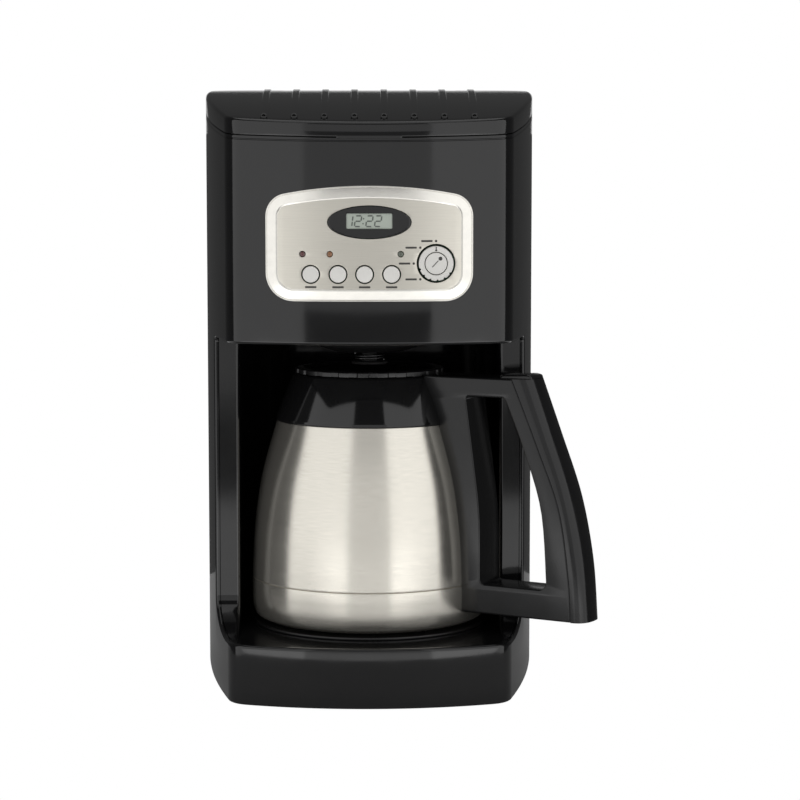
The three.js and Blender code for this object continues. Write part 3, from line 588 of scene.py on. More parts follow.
def niche_rim():
    """The niche's edge on the right half of the skin, as (arc length, height, outward direction), from the
    middle of the deck up the cheek and back to the middle of the head; with where each stretch ends."""
    edge = side_station(NICHE_FRONT_Y)
    deck_end = side_station(NICHE_FRONT_Y - SWEEP_LENGTH)
    rim = [(s, DECK_Z, 0.0, -1.0) for s in stations([0.0, JOINS[1], JOINS[2], deck_end])]
    deck_count = len(rim)
    for i in range(1, SWEEP_STEPS + 1):
        angle = 1.5 * math.pi - 0.5 * math.pi * i / SWEEP_STEPS
        y, z = sweep_point(angle)
        out = Vector((-SWEEP_HEIGHT * math.cos(angle), SWEEP_LENGTH * math.sin(angle))).normalized()
        rim.append((side_station(y), z, out.x, out.y))
    sweep_count = len(rim)
    rim += [(edge, z, 1.0, 0.0) for z in (*UPRIGHT_ROWS, HEAD_Z - RIM_CORNER)]
    for i in range(1, 7):
        turn = math.pi / 12 * i
        s = edge - RIM_CORNER * (1 - math.cos(turn))
        rim.append((s, HEAD_Z - RIM_CORNER * (1 - math.sin(turn)), math.cos(turn), math.sin(turn)))
    head = stations([edge - RIM_CORNER, JOINS[2], JOINS[1], PANEL_STATION, 0.0])
    head_start = len(rim) - 1
    rim += [(s, HEAD_Z, 0.0, 1.0) for s in head[1:]]
    return rim, deck_count, sweep_count, head_start


def off_rim(spot, out, inset):
    s, z, along, up = spot
    return on_skin(s + out * along, z + out * up, inset)


def rim_strip(rim):
    """The rounded edge of the niche all the way round, and the thickness of the wall behind it."""
    loop = rim + [(-s, z, -along, up) for s, z, along, up in reversed(rim[1:-1])]
    turns = [math.pi / 2 * i / 5 for i in range(6)]
    profile = [(RIM_ROUND * (1 - math.sin(t)), RIM_ROUND * (1 - math.cos(t))) for t in turns]
    profile += [(0.0, WALL), (2.0, WALL)]
    return grid([[off_rim(spot, out, inset) for spot in loop] for out, inset in profile], around=True)


def base_edge(s):
    turns = [math.pi / 2 * i / 4 for i in range(5)]
    rows = [on_skin(s, BASE_Z + WALL, WALL), on_skin(s, BASE_Z, WALL)]
    return rows + [on_skin(s, BASE_Z + BASE_ROUND * (1 - math.cos(t)), BASE_ROUND * (1 - math.sin(t)))
                   for t in turns]


def head_column(s, inner_low):
    """Points from above the niche up to the seam, over the wall's top edge and down its inside."""
    y = plan_point(s)[1]
    top = seam_z(min(y, RIM_FLAT_Y)) - 0.15
    outside = [(0.0, z) for z in (HEAD_Z + RIM_ROUND, *UPPER_ROWS)]
    groove = [(0.0, top - 2.6), (0.45, top - 2.3), (0.45, top - 1.9), (0.0, top - 1.6)]
    over = [(0.0, top - 0.6), (0.17, top - 0.17), (0.6, top), (WALL - 0.4, top), (WALL, top - 0.4)]
    inside = [(WALL, z) for z in (*reversed(UPPER_ROWS), inner_low)]
    return [on_skin(s, z, inset) for inset, z in outside + groove + over + inside]


def mirror_columns(columns):
    return [[(-x, y, z) for x, y, z in column] for column in reversed(columns)]


def without(part, inside):
    """The part without the faces whose middle lies inside."""
    points, faces = part
    kept = [f for f in faces if not inside(*(sum(points[i][k] for i in f) / len(f) for k in range(3)))]
    return points, kept


def in_panel_hole(x, y, z):
    return y < 0 and abs(x) < HOLE_HALF and HOLE_Z[0] < z < HOLE_Z[1]


def in_slot(x, y, z):
    return x < -80 and SLOT_Y[0] < y < SLOT_Y[1] and SLOT_Z[0] < z < SLOT_Z[1]


def in_gland_cell(x, y, z):
    return y > 130 and abs(x - GLAND_X) < GLAND_R and abs(z - GLAND_Z) < GLAND_R


def gland_surround():
    """Flat web between the square cell left out of the back and the round hole for the gland."""
    turns = [2 * math.pi * (i + 0.5) / 40 for i in range(40)]
    rows = []
    for reach in (None, GLAND_R * 0.98):
        row = []
        for a in turns:
            r = reach or GLAND_R / max(abs(math.cos(a)), abs(math.sin(a)))
            row.append((GLAND_X + r * math.cos(a), REAR_Y, GLAND_Z + r * math.sin(a)))
        rows.append(row)
    rows.append([(x, REAR_Y - WALL, z) for x, _, z in rows[-1]])
    return grid(rows, around=True)


def casing_skin():
    rim, deck_count, sweep_count, head_start = niche_rim()
    below = [base_edge(s + RIM_ROUND * along)
             + [on_skin(s + RIM_ROUND * along, row) for row in LOWER_ROWS]
             + [off_rim((s, z, along, up), RIM_ROUND, 0.0)]
             for s, z, along, up in rim[:sweep_count]]
    edge = side_station(NICHE_FRONT_Y) + RIM_ROUND
    over = [head_column(edge, HEAD_Z + 2)]
    over += [head_column(s, HEAD_Z + 2) for s, *_ in rim[head_start:]]
    breaks = [edge, side_station(SLOT_Y[0]), JOINS[3], side_station(SLOT_Y[1]), JOINS[4], JOINS[5],
              HALF_ROUND + GLAND_X - GLAND_R, HALF_ROUND + GLAND_X + GLAND_R, HALF_ROUND]
    behind = []
    for s in stations(breaks):
        sweep_top = DECK_Z + SWEEP_HEIGHT
        rows = (*LOWER_ROWS, sweep_top, *UPRIGHT_ROWS, HEAD_Z - RIM_CORNER)
        behind.append(base_edge(s) + [on_skin(s, z) for z in rows] + head_column(s, BASE_Z + WALL))
    corner = [off_rim(spot, RIM_ROUND, 0.0) for spot in rim[sweep_count + len(UPRIGHT_ROWS):head_start + 1]]
    hub = on_skin(edge, HEAD_Z + RIM_ROUND)
    fan = [hub] + corner, [(0, i, i + 1) for i in range(1, len(corner))]
    parts = [rim_strip(rim)]
    for columns in (below, over, behind):
        for half in (columns, mirror_columns(columns)):
            skin = without(without(grid(half), in_panel_hole), in_slot)
            parts.append(without(skin, in_gland_cell))
    parts += [fan, moved(fan, lambda p: (-p[0], p[1], p[2])), gland_surround()]
    parts.append(deck([off_rim(spot, 0.0, WALL) for spot in rim[:deck_count]]))
    return parts


def deck(front_edge):
    """The flat deck from the front edge to the back of the niche."""
    half = front_edge + [(NICHE_HALF + 1.5, NICHE_BACK_Y + 2, DECK_Z)]
    outline = half + [(-x, y, z) for x, y, z in reversed(half[1:])]
    return outline, [list(range(len(outline)))]


def hinge_ears():
    side = rounded([(HINGE_Y - 2.5, 345.0), (HINGE_Y + 2.5, 345.0), (HINGE_Y + 2.5, HINGE_Z + 2),
                    (HINGE_Y - 2.5, HINGE_Z + 2)], 1.5, closed=True)
    ear = plate(side, [circle(HINGE_Y, HINGE_Z, 1.5, 24)], EAR_X[0], EAR_X[1], 0.3)
    right = moved(ear, lambda p: (p[2], p[0], p[1]))
    return [right, moved(right, lambda p: (-p[0], p[1], p[2]))]


def niche_wall():
    """Liner of the niche: cheek faces that follow the sweep, round front edges, flat sides and back."""
    levels = [sweep_point(1.5 * math.pi - 0.5 * math.pi * i / SWEEP_STEPS) for i in range(SWEEP_STEPS + 1)]
    levels += [(NICHE_FRONT_Y, z) for z in (*UPRIGHT_ROWS, HEAD_Z - 1)]
    rows = []
    for y, z in levels:
        inner_wall = SIDE_CENTRE[0] + math.sqrt((SIDE_R - WALL - GAP) ** 2 - (y - SIDE_Y) ** 2)
        across = [(inner_wall + (NICHE_HALF + CHEEK_ROUND - inner_wall) * i / 4, y) for i in range(4)]
        edge = arc(NICHE_HALF + CHEEK_ROUND, y + CHEEK_ROUND, CHEEK_ROUND, -math.pi / 2, -math.pi, 6)
        bend = arc(NICHE_HALF - NICHE_CORNER_R, NICHE_BACK_Y - NICHE_CORNER_R, NICHE_CORNER_R,
                   0.0, math.pi / 2, 30)
        half = across + edge + bend + [(0.0, NICHE_BACK_Y)]
        whole = half + [(-x, depth) for x, depth in reversed(half[:-1])]
        rows.append([(x, depth, z + GAP / 3) for x, depth in whole])
    return grid(rows)


def build_casing():
    piece("housing_shell", casing_skin() + hinge_ears(), GLOSS_BLACK, "machine",
          ["main_housing"])
    piece("niche_wall", [niche_wall()], GLOSS_BLACK, "machine", ["niche_liner"])
    low, high = DECK_Z + 0.1, CARAFE_BASE_Z - GAP
    rest = rounded([(0, low), (REST_R, low), (REST_R, high), (REST_R - 2, high), (REST_R - 3, high - 0.5),
                    (0, high - 0.5)], 0.5)
    piece("rest_plate", [lathe(rest, 128)], SATIN_BLACK, "machine", ["carafe_rest_plate"])
    foot = rounded([(0, 0), (8, 0), (8, BASE_Z - 0.1), (0, BASE_Z - 0.1)], 0.8)
    for i, (x, y) in enumerate([(-62, -62), (62, -62), (-72, 105), (72, 105)], 1):
        made = moved(lathe(foot, 48), lambda p, x=x, y=y: (p[0] + x, p[1] + y, p[2]))
        piece(f"rubber_foot_{i}", [made], BLACK_RUBBER, "machine", [f"foot_{i}"])


# ------------------------------------------------------------------ lid

def lid_shell():
    """Top, rounded edge, skirt and inside of the lid, as rings from the middle of the top to the middle
    of its underside."""
    columns = stations([-HALF_ROUND, -JOINS[5], -JOINS[4], -JOINS[2], -JOINS[1], 0.0,
                        JOINS[1], JOINS[2], JOINS[4], JOINS[5], HALF_ROUND])[:-1]
    middle_y = (FRONT_Y + REAR_Y) / 2

    def ring(share, inset, height):
        row = []
        for s in columns:
            x, y = plan_point(s, inset)
            x, y = x * share, middle_y + (y - middle_y) * share
            row.append((x, y, height(y)))
        return row

    rows = [ring(i / 16, LID_ROUND, lid_top_z) for i in range(16)]
    for i in range(7):
        t = math.pi / 12 * i
        drop = LID_ROUND * (1 - math.cos(t))
        rows.append(ring(1, LID_ROUND * (1 - math.sin(t)), lambda y, drop=drop: lid_top_z(y) - drop))
    for inset, above in ((0.0, 0.75), (0.17, 0.32), (0.6, 0.15), (WALL, 0.15)):
        rows.append(ring(1, inset, lambda y, above=above: seam_z(y) + above))
    rows += [ring(1 - i / 8, WALL, lambda y: lid_top_z(y) - WALL) for i in range(9)]
    return grid(rows, around=True)


def rib(index, side):
    """One raised rib of the lid, from its bead at the front to the back."""
    front_x, rear_x = RIB_FRONT + RIB_PITCH_FRONT * index, RIB_REAR + RIB_PITCH_REAR * index
    section = rounded([
        (-RIB_HALF, -0.6), (-RIB_HALF, RIB_HEIGHT), (RIB_HALF, RIB_HEIGHT), (RIB_HALF, -0.6)], 0.45)
    rows = []
    for i in range(25):
        share = i / 24
        y = RIB_Y[0] + (RIB_Y[1] - RIB_Y[0]) * share
        x = front_x + (rear_x - front_x) * share
        rows.append([(side * (x + u), y, lid_top_z(y) + h) for u, h in section])
    points, faces = grid(rows)
    last = len(points) - len(section)
    return points, faces + [list(range(len(section))), list(range(last, len(points)))]


def bead(index, side):
    """Round bead with a dimple, leaning to the front, at a rib's front end."""
    profile = rounded([(0, 0.0), (0.8, 0.0), (1.0, 1.3), (1.9, 1.3), (2.1, -3.5)], 0.3)
    x, y = side * (RIB_FRONT + RIB_PITCH_FRONT * index), RIB_Y[0]
    c, s = math.cos(BEAD_LEAN), math.sin(BEAD_LEAN)
    return moved(lathe(profile, 32), lambda p: (x + p[0], y + p[1] * c - p[2] * s,
                                                lid_top_z(y) + 0.4 + p[1] * s + p[2] * c))


def finger_tab():
    outline = rounded([(-TAB_HALF, SEAM_FRONT_Z - 0.9), (TAB_HALF, SEAM_FRONT_Z - 0.9),
                       (TAB_HALF, SEAM_FRONT_Z + 0.9), (-TAB_HALF, SEAM_FRONT_Z + 0.9)], 0.7, closed=True)
    return onto_front(sliced(plate(outline, [], -WALL, 0.22, 0.2), 4.0))


def hinge_barrel():
    side = rounded([(127, 352.0), (133.2, 353.5), (133.2, 361.0), (127, 361.0)], 1.5, closed=True)
    spans = [
        (-HINGE_REACH, -EAR_X[1] - 0.5), (-EAR_X[0] + 0.5, EAR_X[0] - 0.5),
        (EAR_X[1] + 0.5, HINGE_REACH)]
    lengths = [plate(side, [], low, high, 0.4) for low, high in spans]
    return [moved(length, lambda p: (p[2], p[0], p[1])) for length in lengths]


def build_lid():
    shell = piece("lid_shell", [lid_shell()], GLOSS_BLACK, "lid", ["lid_cover"])
    notch_lid(shell)
    ribs = [make(i, side) for i in range(4) for side in (-1, 1) for make in (rib, bead)]
    piece("lid_ribs", ribs, GLOSS_BLACK, "lid")
    piece("lid_finger_tab", [finger_tab()], GLOSS_BLACK, "lid")
    piece("lid_hinge_barrel", hinge_barrel(), GLOSS_BLACK, "lid")


def notch_lid(shell):
    """Cuts the lid where the hinge ears of the housing stand."""
    for side in (-1, 1):
        low = place((side * EAR_X[0] - side * 0.5, 124.5, 340))
        high = place((side * EAR_X[1] + side * 0.5, 140, 370))
        mesh = bpy.data.meshes.new("notch")
        tool = bmesh.new()
        bmesh.ops.create_cube(tool, size=1.0)
        size = high - low
        spread = Matrix.Diagonal((abs(size.x), abs(size.y), abs(size.z), 1.0))
        tool.transform(Matrix.Translation((low + high) / 2) @ spread)
        tool.to_mesh(mesh)
        tool.free()
        cutter = bpy.data.objects.new("notch", mesh)
        bpy.context.scene.collection.objects.link(cutter)
        cut = shell.modifiers.new("notch", "BOOLEAN")
        cut.operation, cut.solver, cut.object = "DIFFERENCE", "EXACT", cutter
        depsgraph = bpy.context.evaluated_depsgraph_get()
        result = bpy.data.meshes.new_from_object(shell.evaluated_get(depsgraph))
        shell.modifiers.clear()
        shell.data = result
        bpy.data.objects.remove(cutter)
    shell.data.shade_smooth()
    shell.data.set_sharp_from_angle(angle=math.radians(38))


# ------------------------------------------------------------------ control panel

def panel_outline(inset):
    """The frame's outline from the front: straight bottom and sides, round corners, arched top."""
    half, bottom = PANEL_HALF - inset, PANEL_BOTTOM + inset
    lower_x, lower_z = PANEL_HALF - PANEL_LOWER_R, PANEL_BOTTOM + PANEL_LOWER_R
    upper_x = PANEL_HALF - PANEL_UPPER_R
    arch_z = PANEL_TOP - PANEL_ARCH_R
    lean = math.atan2(PANEL_UPPER_Z - arch_z, upper_x)
    half_line = [(lower_x * i / 16, bottom) for i in range(16)]
    half_line += arc(lower_x, lower_z, PANEL_LOWER_R - inset, -math.pi / 2, 0.0, 14)
    half_line += [(half, lower_z + (PANEL_UPPER_Z - lower_z) * i / 6) for i in range(1, 6)]
    half_line += arc(upper_x, PANEL_UPPER_Z, PANEL_UPPER_R - inset, 0.0, lean, 12)
    half_line += arc(0.0, arch_z, PANEL_ARCH_R - inset, lean, math.pi / 2, 18)[1:]
    return half_line + [(-x, z) for x, z in reversed(half_line[1:-1])]


def panel_frame():
    """Frame with a thin outer lip and one wide bevel that rises, crowned, to the plate."""
    lip = [(2.3, -0.2), (0.0, -0.2), (0.0, 0.35), (0.55, 0.5), (0.75, 0.05), (1.05, 0.25)]
    bevel = [(5.9, PLATE_PROUD + 0.25), (PANEL_RIM, PLATE_PROUD + 0.05), (PANEL_RIM, -WALL)]
    profile = [(2.3, -WALL), *rounded(lip + bevel, 0.25), (2.3, -WALL)]
    rows = [[(*p, proud) for p in panel_outline(inset)] for inset, proud in profile]
    return onto_front(grid(rows, around=True))


def panel_plate():
    outline = panel_outline(PANEL_RIM - 0.2)
    holes = [circle(x, BUTTON_Z, BUTTON_R + BUTTON_GAP) for x in BUTTON_X]
    holes += [circle(x, LED_Z, LED_R + GAP, 24) for x in LED_X]
    holes += [circle(KNOB_X, KNOB_Z, KNOB_R + KNOB_GAP, 72), ellipse(0, WINDOW_Z, *WINDOW_HALF)]
    return onto_front(sliced(plate(outline, holes, -0.6, PLATE_PROUD, 0.15), 4.0))


def window_oval():
    """Glossy oval round the display: rounded rim, a face that crowns a little, a bevelled opening."""
    a, b = WINDOW_HALF[0] - GAP, WINDOW_HALF[1] - GAP
    w, h = LCD_HALF
    hole = rounded([(-w, LCD_Z - h), (w, LCD_Z - h), (w, LCD_Z + h), (-w, LCD_Z + h)], 0.8, closed=True)
    flat = plate(ellipse(0, WINDOW_Z, a, b), [hole], -1.5, 1.5, 0.35)
    return onto_front(sliced(flat, 2.0))


SEGMENTS = {
    "0": "abcdef", "1": "bc", "2": "abged", "3": "abgcd", "4": "fgbc",
    "5": "afgcd", "6": "afgedc", "7": "abc", "8": "abcdefg", "9": "abcdfg",
}


def digit(figure, x, z, width=3.4, height=6.0, stroke=0.75):
    """Seven-segment figure as thin flat bars, leaning to the right."""
    half = height / 2
    bars = {
        "a": ((0, height), (width, height)), "g": ((0, half), (width, half)), "d": ((0, 0), (width, 0)),
        "f": ((0, half), (0, height)), "e": ((0, 0), (0, half)),
        "b": ((width, half), (width, height)), "c": ((width, 0), (width, half)),
    }
    parts = []
    for name in SEGMENTS[figure]:
        (x0, z0), (x1, z1) = bars[name]
        grow_x, grow_z = (-0.35, stroke / 2) if z0 == z1 else (stroke / 2, -0.35)
        corners = [(x0 - grow_x, z0 - grow_z), (x1 + grow_x, z0 - grow_z),
                   (x1 + grow_x, z1 + grow_z), (x0 - grow_x, z1 + grow_z)]
        parts.append(flat_mark([(x + u + 0.12 * v, z + v) for u, v in corners]))
    return parts


def flat_mark(corners, y=LCD_FACE_Y, proud=0.06):
    return moved(plate(corners, [], 0.0, proud, 0.015, 1), lambda p: (p[0], y - p[2], p[1]))


def printed(outline, proud=PLATE_PROUD + 0.04):
    """A printed mark that lies on the panel's plate."""
    return onto_front(sliced(plate(outline, [], PLATE_PROUD - 0.05, proud, 0.01, 1), 4.0))


def dash(x, z, length, height=0.7):
    half, rise = length / 2, height / 2
    return rounded([(x - half, z - rise), (x + half, z - rise), (x + half, z + rise), (x - half, z + rise)],
                   0.3, closed=True)


def build_display():
    piece("display_oval", [window_oval()], GLOSS_BLACK, "machine", ["display_window"])
    w, h = LCD_HALF
    glass = rounded([(-w, LCD_Z - h), (w, LCD_Z - h), (w, LCD_Z + h), (-w, LCD_Z + h)], 0.8, closed=True)
    lcd = moved(plate(glass, [], 82.0, -LCD_FACE_Y, 0.15), lambda p: (p[0], -p[2], p[1]))
    piece("lcd_glass", [lcd], LCD_GREY, "machine", ["lcd_display"])
    marks = []
    for figure, x in zip("1222", (-13.3, -8.4, -2.0, 2.9)):
        marks += digit(figure, x, LCD_Z - 3.0)
    for z in (LCD_Z - 1.4, LCD_Z + 1.4):
        marks.append(flat_mark(circle(-3.4 + 0.12 * (z - LCD_Z), z, 0.42, 12)))
    piece("lcd_figures", marks, LCD_INK, "machine")


def button(x):
    face = front_depth(x) - BUTTON_PROUD
    profile = [(0, 84.0), (BUTTON_R, 84.0), (BUTTON_R, -face - 0.2)]
    profile += [(BUTTON_R - 0.6, -face)]
    profile += [(BUTTON_R * k / 4, -face - 0.25 * (1 - k / 4)) for k in (3, 2, 1, 0)]
    return facing_front(lathe(rounded(profile, 0.5), 64), x, BUTTON_Z)


def build_buttons():
    bodies = ("clean_button", "cup_range_button", "hour_button", "minute_button")
    for body, x in zip(bodies, BUTTON_X):
        piece(f"{body}_cap", [button(x)], BUTTON_SILVER, body, [body])
    looks = ((RED_LENS, "red_lens"), (AMBER_LENS, "amber_lens"), (GREEN_LENS, "green_lens"))
    for i, (x, (look, slot)) in enumerate(zip(LED_X, looks), 1):
        face = -front_depth(x) + 1.3
        dome = [(0, 86.0), (LED_R, 86.0)] + [(LED_R * math.cos(t), face + 0.6 * math.sin(t)) for t in
                                             (0, 0.3, 0.6, 0.9, 1.2, math.pi / 2)]
        piece(f"indicator_lens_{i}", [facing_front(lathe(dome, 32), x, LED_Z)], look, "machine",
              [f"indicator_light_{i}"])


def knob_ring():
    """Ring of the selector with grip notches along its lower rim."""
    face = KNOB_PROUD - front_depth(KNOB_X)
    profile = rounded([
        (KNOB_BORE, 86.0), (KNOB_R, 86.0), (KNOB_R, face), (KNOB_BORE, face), (KNOB_BORE, 86.0)], 0.7)
    sides = 240
    rows = []
    for r, h in profile:
        row = []
        for i in range(sides):
            a = 2 * math.pi * i / sides
            notch = knob_notch(a) if r > KNOB_BORE + 1.5 else 0.0
            row.append(((r - notch) * math.cos(a), (r - notch) * math.sin(a), h))
        rows.append(row)
    return facing_front(grid(rows, around=True), KNOB_X, KNOB_Z)


def knob_notch(angle, pitch=math.radians(25), depth=0.7):
    """Depth of the grip notches at an angle: six of them, from lower left to lower right."""
    first, last = math.radians(200), math.radians(325)
    if not first - 0.1 < angle < last + 0.1:
        return 0.0
    away = abs((angle - first + pitch / 2) % pitch - pitch / 2)
    return depth * max(0.0, 1 - (away / 0.07) ** 2)


def build_knob():
    piece("selector_ring", [knob_ring()], BUTTON_SILVER, "selector_knob", ["selector_knob"])
    face = KNOB_PROUD + 0.2 - front_depth(KNOB_X)
    cap = rounded([(0, 84.5), (ON_OFF_R, 84.5), (ON_OFF_R, face), (3.0, face), (0, face - 0.2)], 0.5)
    piece("on_off_cap", [facing_front(lathe(cap, 64), KNOB_X, KNOB_Z)], BUTTON_SILVER, "on_off_button",
          ["on_off_button"])
    tip = KNOB_Z + KNOB_R
    pointer = [(KNOB_X - 0.3, tip - 0.4), (KNOB_X + 0.3, tip - 0.4), (KNOB_X + 0.3, tip - 1.6),
               (KNOB_X - 0.3, tip - 1.6)]
    y = front_depth(KNOB_X) - KNOB_PROUD
    marks = [flat_mark(pointer, y), flat_mark(circle(KNOB_X, tip - 2.3, 0.6, 16), y)]
    piece("selector_pointer", marks, PRINT_GREY, "selector_knob")
    slash = [(KNOB_X - 2.4, KNOB_Z - 1.9), (KNOB_X - 2.1, KNOB_Z - 2.2),
             (KNOB_X + 1.4, KNOB_Z + 1.5), (KNOB_X + 1.1, KNOB_Z + 1.8)]
    marks = [flat_mark(slash, y - 0.2), flat_mark(circle(KNOB_X + 2.4, KNOB_Z + 2.8, 1.1, 24), y - 0.2)]
    piece("on_off_mark", marks, PRINT_GREY, "on_off_button")


def build_prints():
    """Dots round the selector and short dashes in place of the labels."""
    marks = []
    for degrees in (90, 135, 180, 225):
        a = math.radians(degrees)
        x, z = KNOB_X + 12.6 * math.cos(a), KNOB_Z + 12.6 * math.sin(a)
        marks.append(printed(circle(x, z, 0.7, 16)))
        marks.append(printed(dash(x - 5.2, z, 6.4, 1.1)))
    marks += [printed(dash(x, BUTTON_Z - 7.2, 6.4, 1.1)) for x in BUTTON_X]
    piece("panel_marks", marks, PRINT_GREY, "machine")


def build_panel():
    piece("panel_frame", [panel_frame()], FRAME_METAL, "machine", ["control_bezel"], 30)
    piece("panel_plate", [panel_plate()], PANEL_METAL, "machine", ["control_plate"])
    build_display()
    build_buttons()
    build_knob()
    build_prints()


# ------------------------------------------------------------------ brewing parts

def build_brewing():
    housing = rounded([
        (8, 201.5), (22, 202.6), (33, 206.2), (37.4, 211), (38, 215.4), (66, 222), (66, 296), (64, 296),
        (64, 223.8), (36, 217.4), (35.4, 212), (32, 208.2), (21.5, 204.7), (8, 203.5), (8, 201.5)], 0.8)
    piece("basket_holder", [lathe(housing)], SATIN_BLACK, "machine", ["basket_housing"])
    basket = rounded([
        (3, 209.4), (30.5, 209.4), (35, 218.5), (60, 232), (61.5, 298), (63.5, 298), (63.5, 300), (59.5, 300),
        (58, 233.5), (33.5, 220), (29.5, 211.4), (3, 211.4), (3, 209.4)], 0.8)
    piece("brew_basket", [lathe(basket)], SATIN_BLACK, "machine", ["filter_basket"])
    valve = rounded([
        (0, 194.4), (11, 194.4), (11, 196), (4.5, 196), (4.5, 203.8), (2, 205.2), (0, 205.2)], 0.6)
    piece("drip_valve", [lathe(valve, 48)], BLACK_RUBBER, "drip_stop_valve",
          ["drip_stop_valve"])
    build_spring()


def build_spring():
    """Coil between the valve and the basket."""
    turns, coil_r, wire_r, low, high = 2.5, 8.6, 0.45, 196.9, 200.6
    steps = 120
    rows = []
    for i in range(steps + 1):
        a = 2 * math.pi * turns * i / steps
        z = low + (high - low) * i / steps
        ring = []
        for k in range(10):
            b = 2 * math.pi * k / 10
            r = coil_r + wire_r * math.cos(b)
            ring.append((r * math.cos(a), r * math.sin(a), z + wire_r * math.sin(b)))
        rows.append(ring)
    points, faces = grid(rows, around=True)
    faces += [list(range(10)), list(range(len(points) - 10, len(points)))]
    # The coil takes the steel coloured dark as painted shade.
    coil = piece("valve_spring", [(points, faces)], SHADE_DARK_SPRING_STEEL, "machine",
                 ["drip_stop_spring"])
    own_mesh(coil)


# ------------------------------------------------------------------ carafe

def steel_radius(z):
    """Radius of the carafe's wall or collar at a height."""
    wall = spline(STEEL_WALL, 60) + COLLAR_WALL
    for (r0, z0), (r1, z1) in zip(wall, wall[1:]):
        if z0 <= z <= z1:
            return r0 + (r1 - r0) * (z - z0) / max(z1 - z0, 1e-6)
    return wall[0][0] if z < wall[0][1] else wall[-1][0]


def steel_wall():
    """The wall from its foot to the collar, with the rolled groove low down on it."""
    wall = spline(STEEL_WALL, 60)
    low = [p for p in wall if p[1] < SEAM_GROOVE_Z - 0.8]
    high = [p for p in wall if p[1] > SEAM_GROOVE_Z + 0.8]
    groove = [(-0.55, 0.0), (-0.3, 0.05), (0.0, 0.55), (0.3, 0.05), (0.55, 0.0)]
    middle = [(steel_radius(SEAM_GROOVE_Z + up) - depth, SEAM_GROOVE_Z + up) for up, depth in groove]
    return low + middle + high


def build_carafe_body():
    wall = [(0, CARAFE_BASE_Z), (57, CARAFE_BASE_Z), (58.5, CARAFE_BASE_Z + 1), *steel_wall()]
    wall += [(55.0, STEEL_TOP_Z + 0.1), (54.6, STEEL_TOP_Z - 0.3), (54.9, STEEL_TOP_Z - 3)]
    piece("steel_body", [lathe(wall, 192)], CARAFE_STEEL, "carafe", ["carafe_shell"])
    collar = [(50, 152), (53.2, 152), (52.6, STEEL_TOP_Z + GAP), (57, STEEL_TOP_Z + GAP), (56.7, 163)]
    collar += [(51.5, 176), (46.2, 188), (45.5, COLLAR_TOP_Z), (42, COLLAR_TOP_Z)]
    collar += [(42.2, 176), (50, 162), (50, 152)]
    piece("neck_collar", [lathe(rounded(collar, 1.5), 160)], GLOSS_BLACK, "carafe",
          ["carafe_collar"])
    gasket = rounded([(36.9, 174), (40.2, 174), (40.2, 177), (36.9, 177)], 0.8, closed=True)
    piece("lid_gasket", [lathe(gasket + gasket[:1])], SILICONE, "carafe_lid",
          ["carafe_lid_gasket"])


def build_carafe_lid():
    """Screw lid with a slotted rim."""
    low, high = COLLAR_TOP_Z + GAP, 192.2
    profile = rounded([
        (0, 172), (36.6, 172), (36.6, 188), (39.5, low), (44.8, low), (44.8, high), (43.2, high + 0.3),
        (40, high + 0.3), (38, 190.8), (12, 189.6), (0, 189.4)], 0.5)
    slots, per_slot = 24, 12
    rows = []
    for r, z in profile:
        row = []
        for i in range(slots * per_slot):
            a = 2 * math.pi * i / (slots * per_slot)
            depth = 0.9 if r > 43.5 and i % per_slot < 5 else 0.0
            row.append(((r - depth) * math.cos(a), (r - depth) * math.sin(a), z))
        rows.append(row)
    piece("screw_lid", [grid(rows, around=True)], SATIN_BLACK, "carafe_lid",
          ["carafe_lid"], 30)


def on_handle_plane(part):
    """Stands a part drawn as (distance from the axis, height, sideways) on the handle's own plane."""
    c, s = math.cos(HANDLE_ANGLE), math.sin(HANDLE_ANGLE)
    return moved(part, lambda p: (p[0] * c - p[2] * s, p[0] * s + p[2] * c, p[1]))


def handle_frame():
    """Flat-sided loop of the handle, from the carafe's wall to the crease."""
    half = HANDLE_THICK / 2
    heights = [190.2 - (190.2 - 50.7) * i / 30 for i in range(31)]
    wall = [(math.sqrt(steel_radius(z) ** 2 - half ** 2) - 0.5, z) for z in heights]
    outline = wall + spline(HANDLE_CREASE, 32)[::-1]
    opening = rounded(spline(OPENING_INNER, 16) + [(84.5, OPENING_FLOOR_Z), (122, OPENING_FLOOR_Z)]
                      + spline(OPENING_OUTER, 16), 3.0, closed=True)
    return on_handle_plane(plate(rounded(outline, 1.5, closed=True), [opening], -half, half, 1.0))


def handle_spine():
    """Crowned cover along the outside of the grip, lofted from the crease to the spine."""
    crease, spine = spline(HANDLE_CREASE, 40), spline(HANDLE_SPINE, 40)
    half = HANDLE_THICK / 2
    turns = [math.pi * i / 24 for i in range(25)]
    rows = []
    for (r0, z0), (r1, z1) in zip(crease, spine):
        row = []
        for t in turns:
            sideways = half * math.copysign(abs(math.cos(t)) ** 0.75, math.cos(t))
            out = abs(math.sin(t)) ** 0.8
            row.append((r0 + 0.2 + (r1 - r0) * out, z0 + (z1 - z0) * out, sideways))
        rows.append(row)
    points, faces = grid(rows)
    last = len(points) - len(turns)
    faces += [list(range(len(turns))), list(range(last, len(points)))]
    rest = rounded([(92, 189.4), (114, 189.4), (113, 192.2), (110, 192.9), (94, 192.2)], 1.5, closed=True)
    return [on_handle_plane((points, faces)),
            on_handle_plane(plate(rest, [], -GRIP_THICK / 2, GRIP_THICK / 2, 1.2))]


def build_handle():
    piece("handle_loop", [handle_frame()], HANDLE_BLACK, "carafe", ["carafe_handle"])
    piece("handle_spine", handle_spine(), HANDLE_BLACK, "carafe", ["handle_spine_cover"])


# ------------------------------------------------------------------ finishes of the CAD nodes that stay

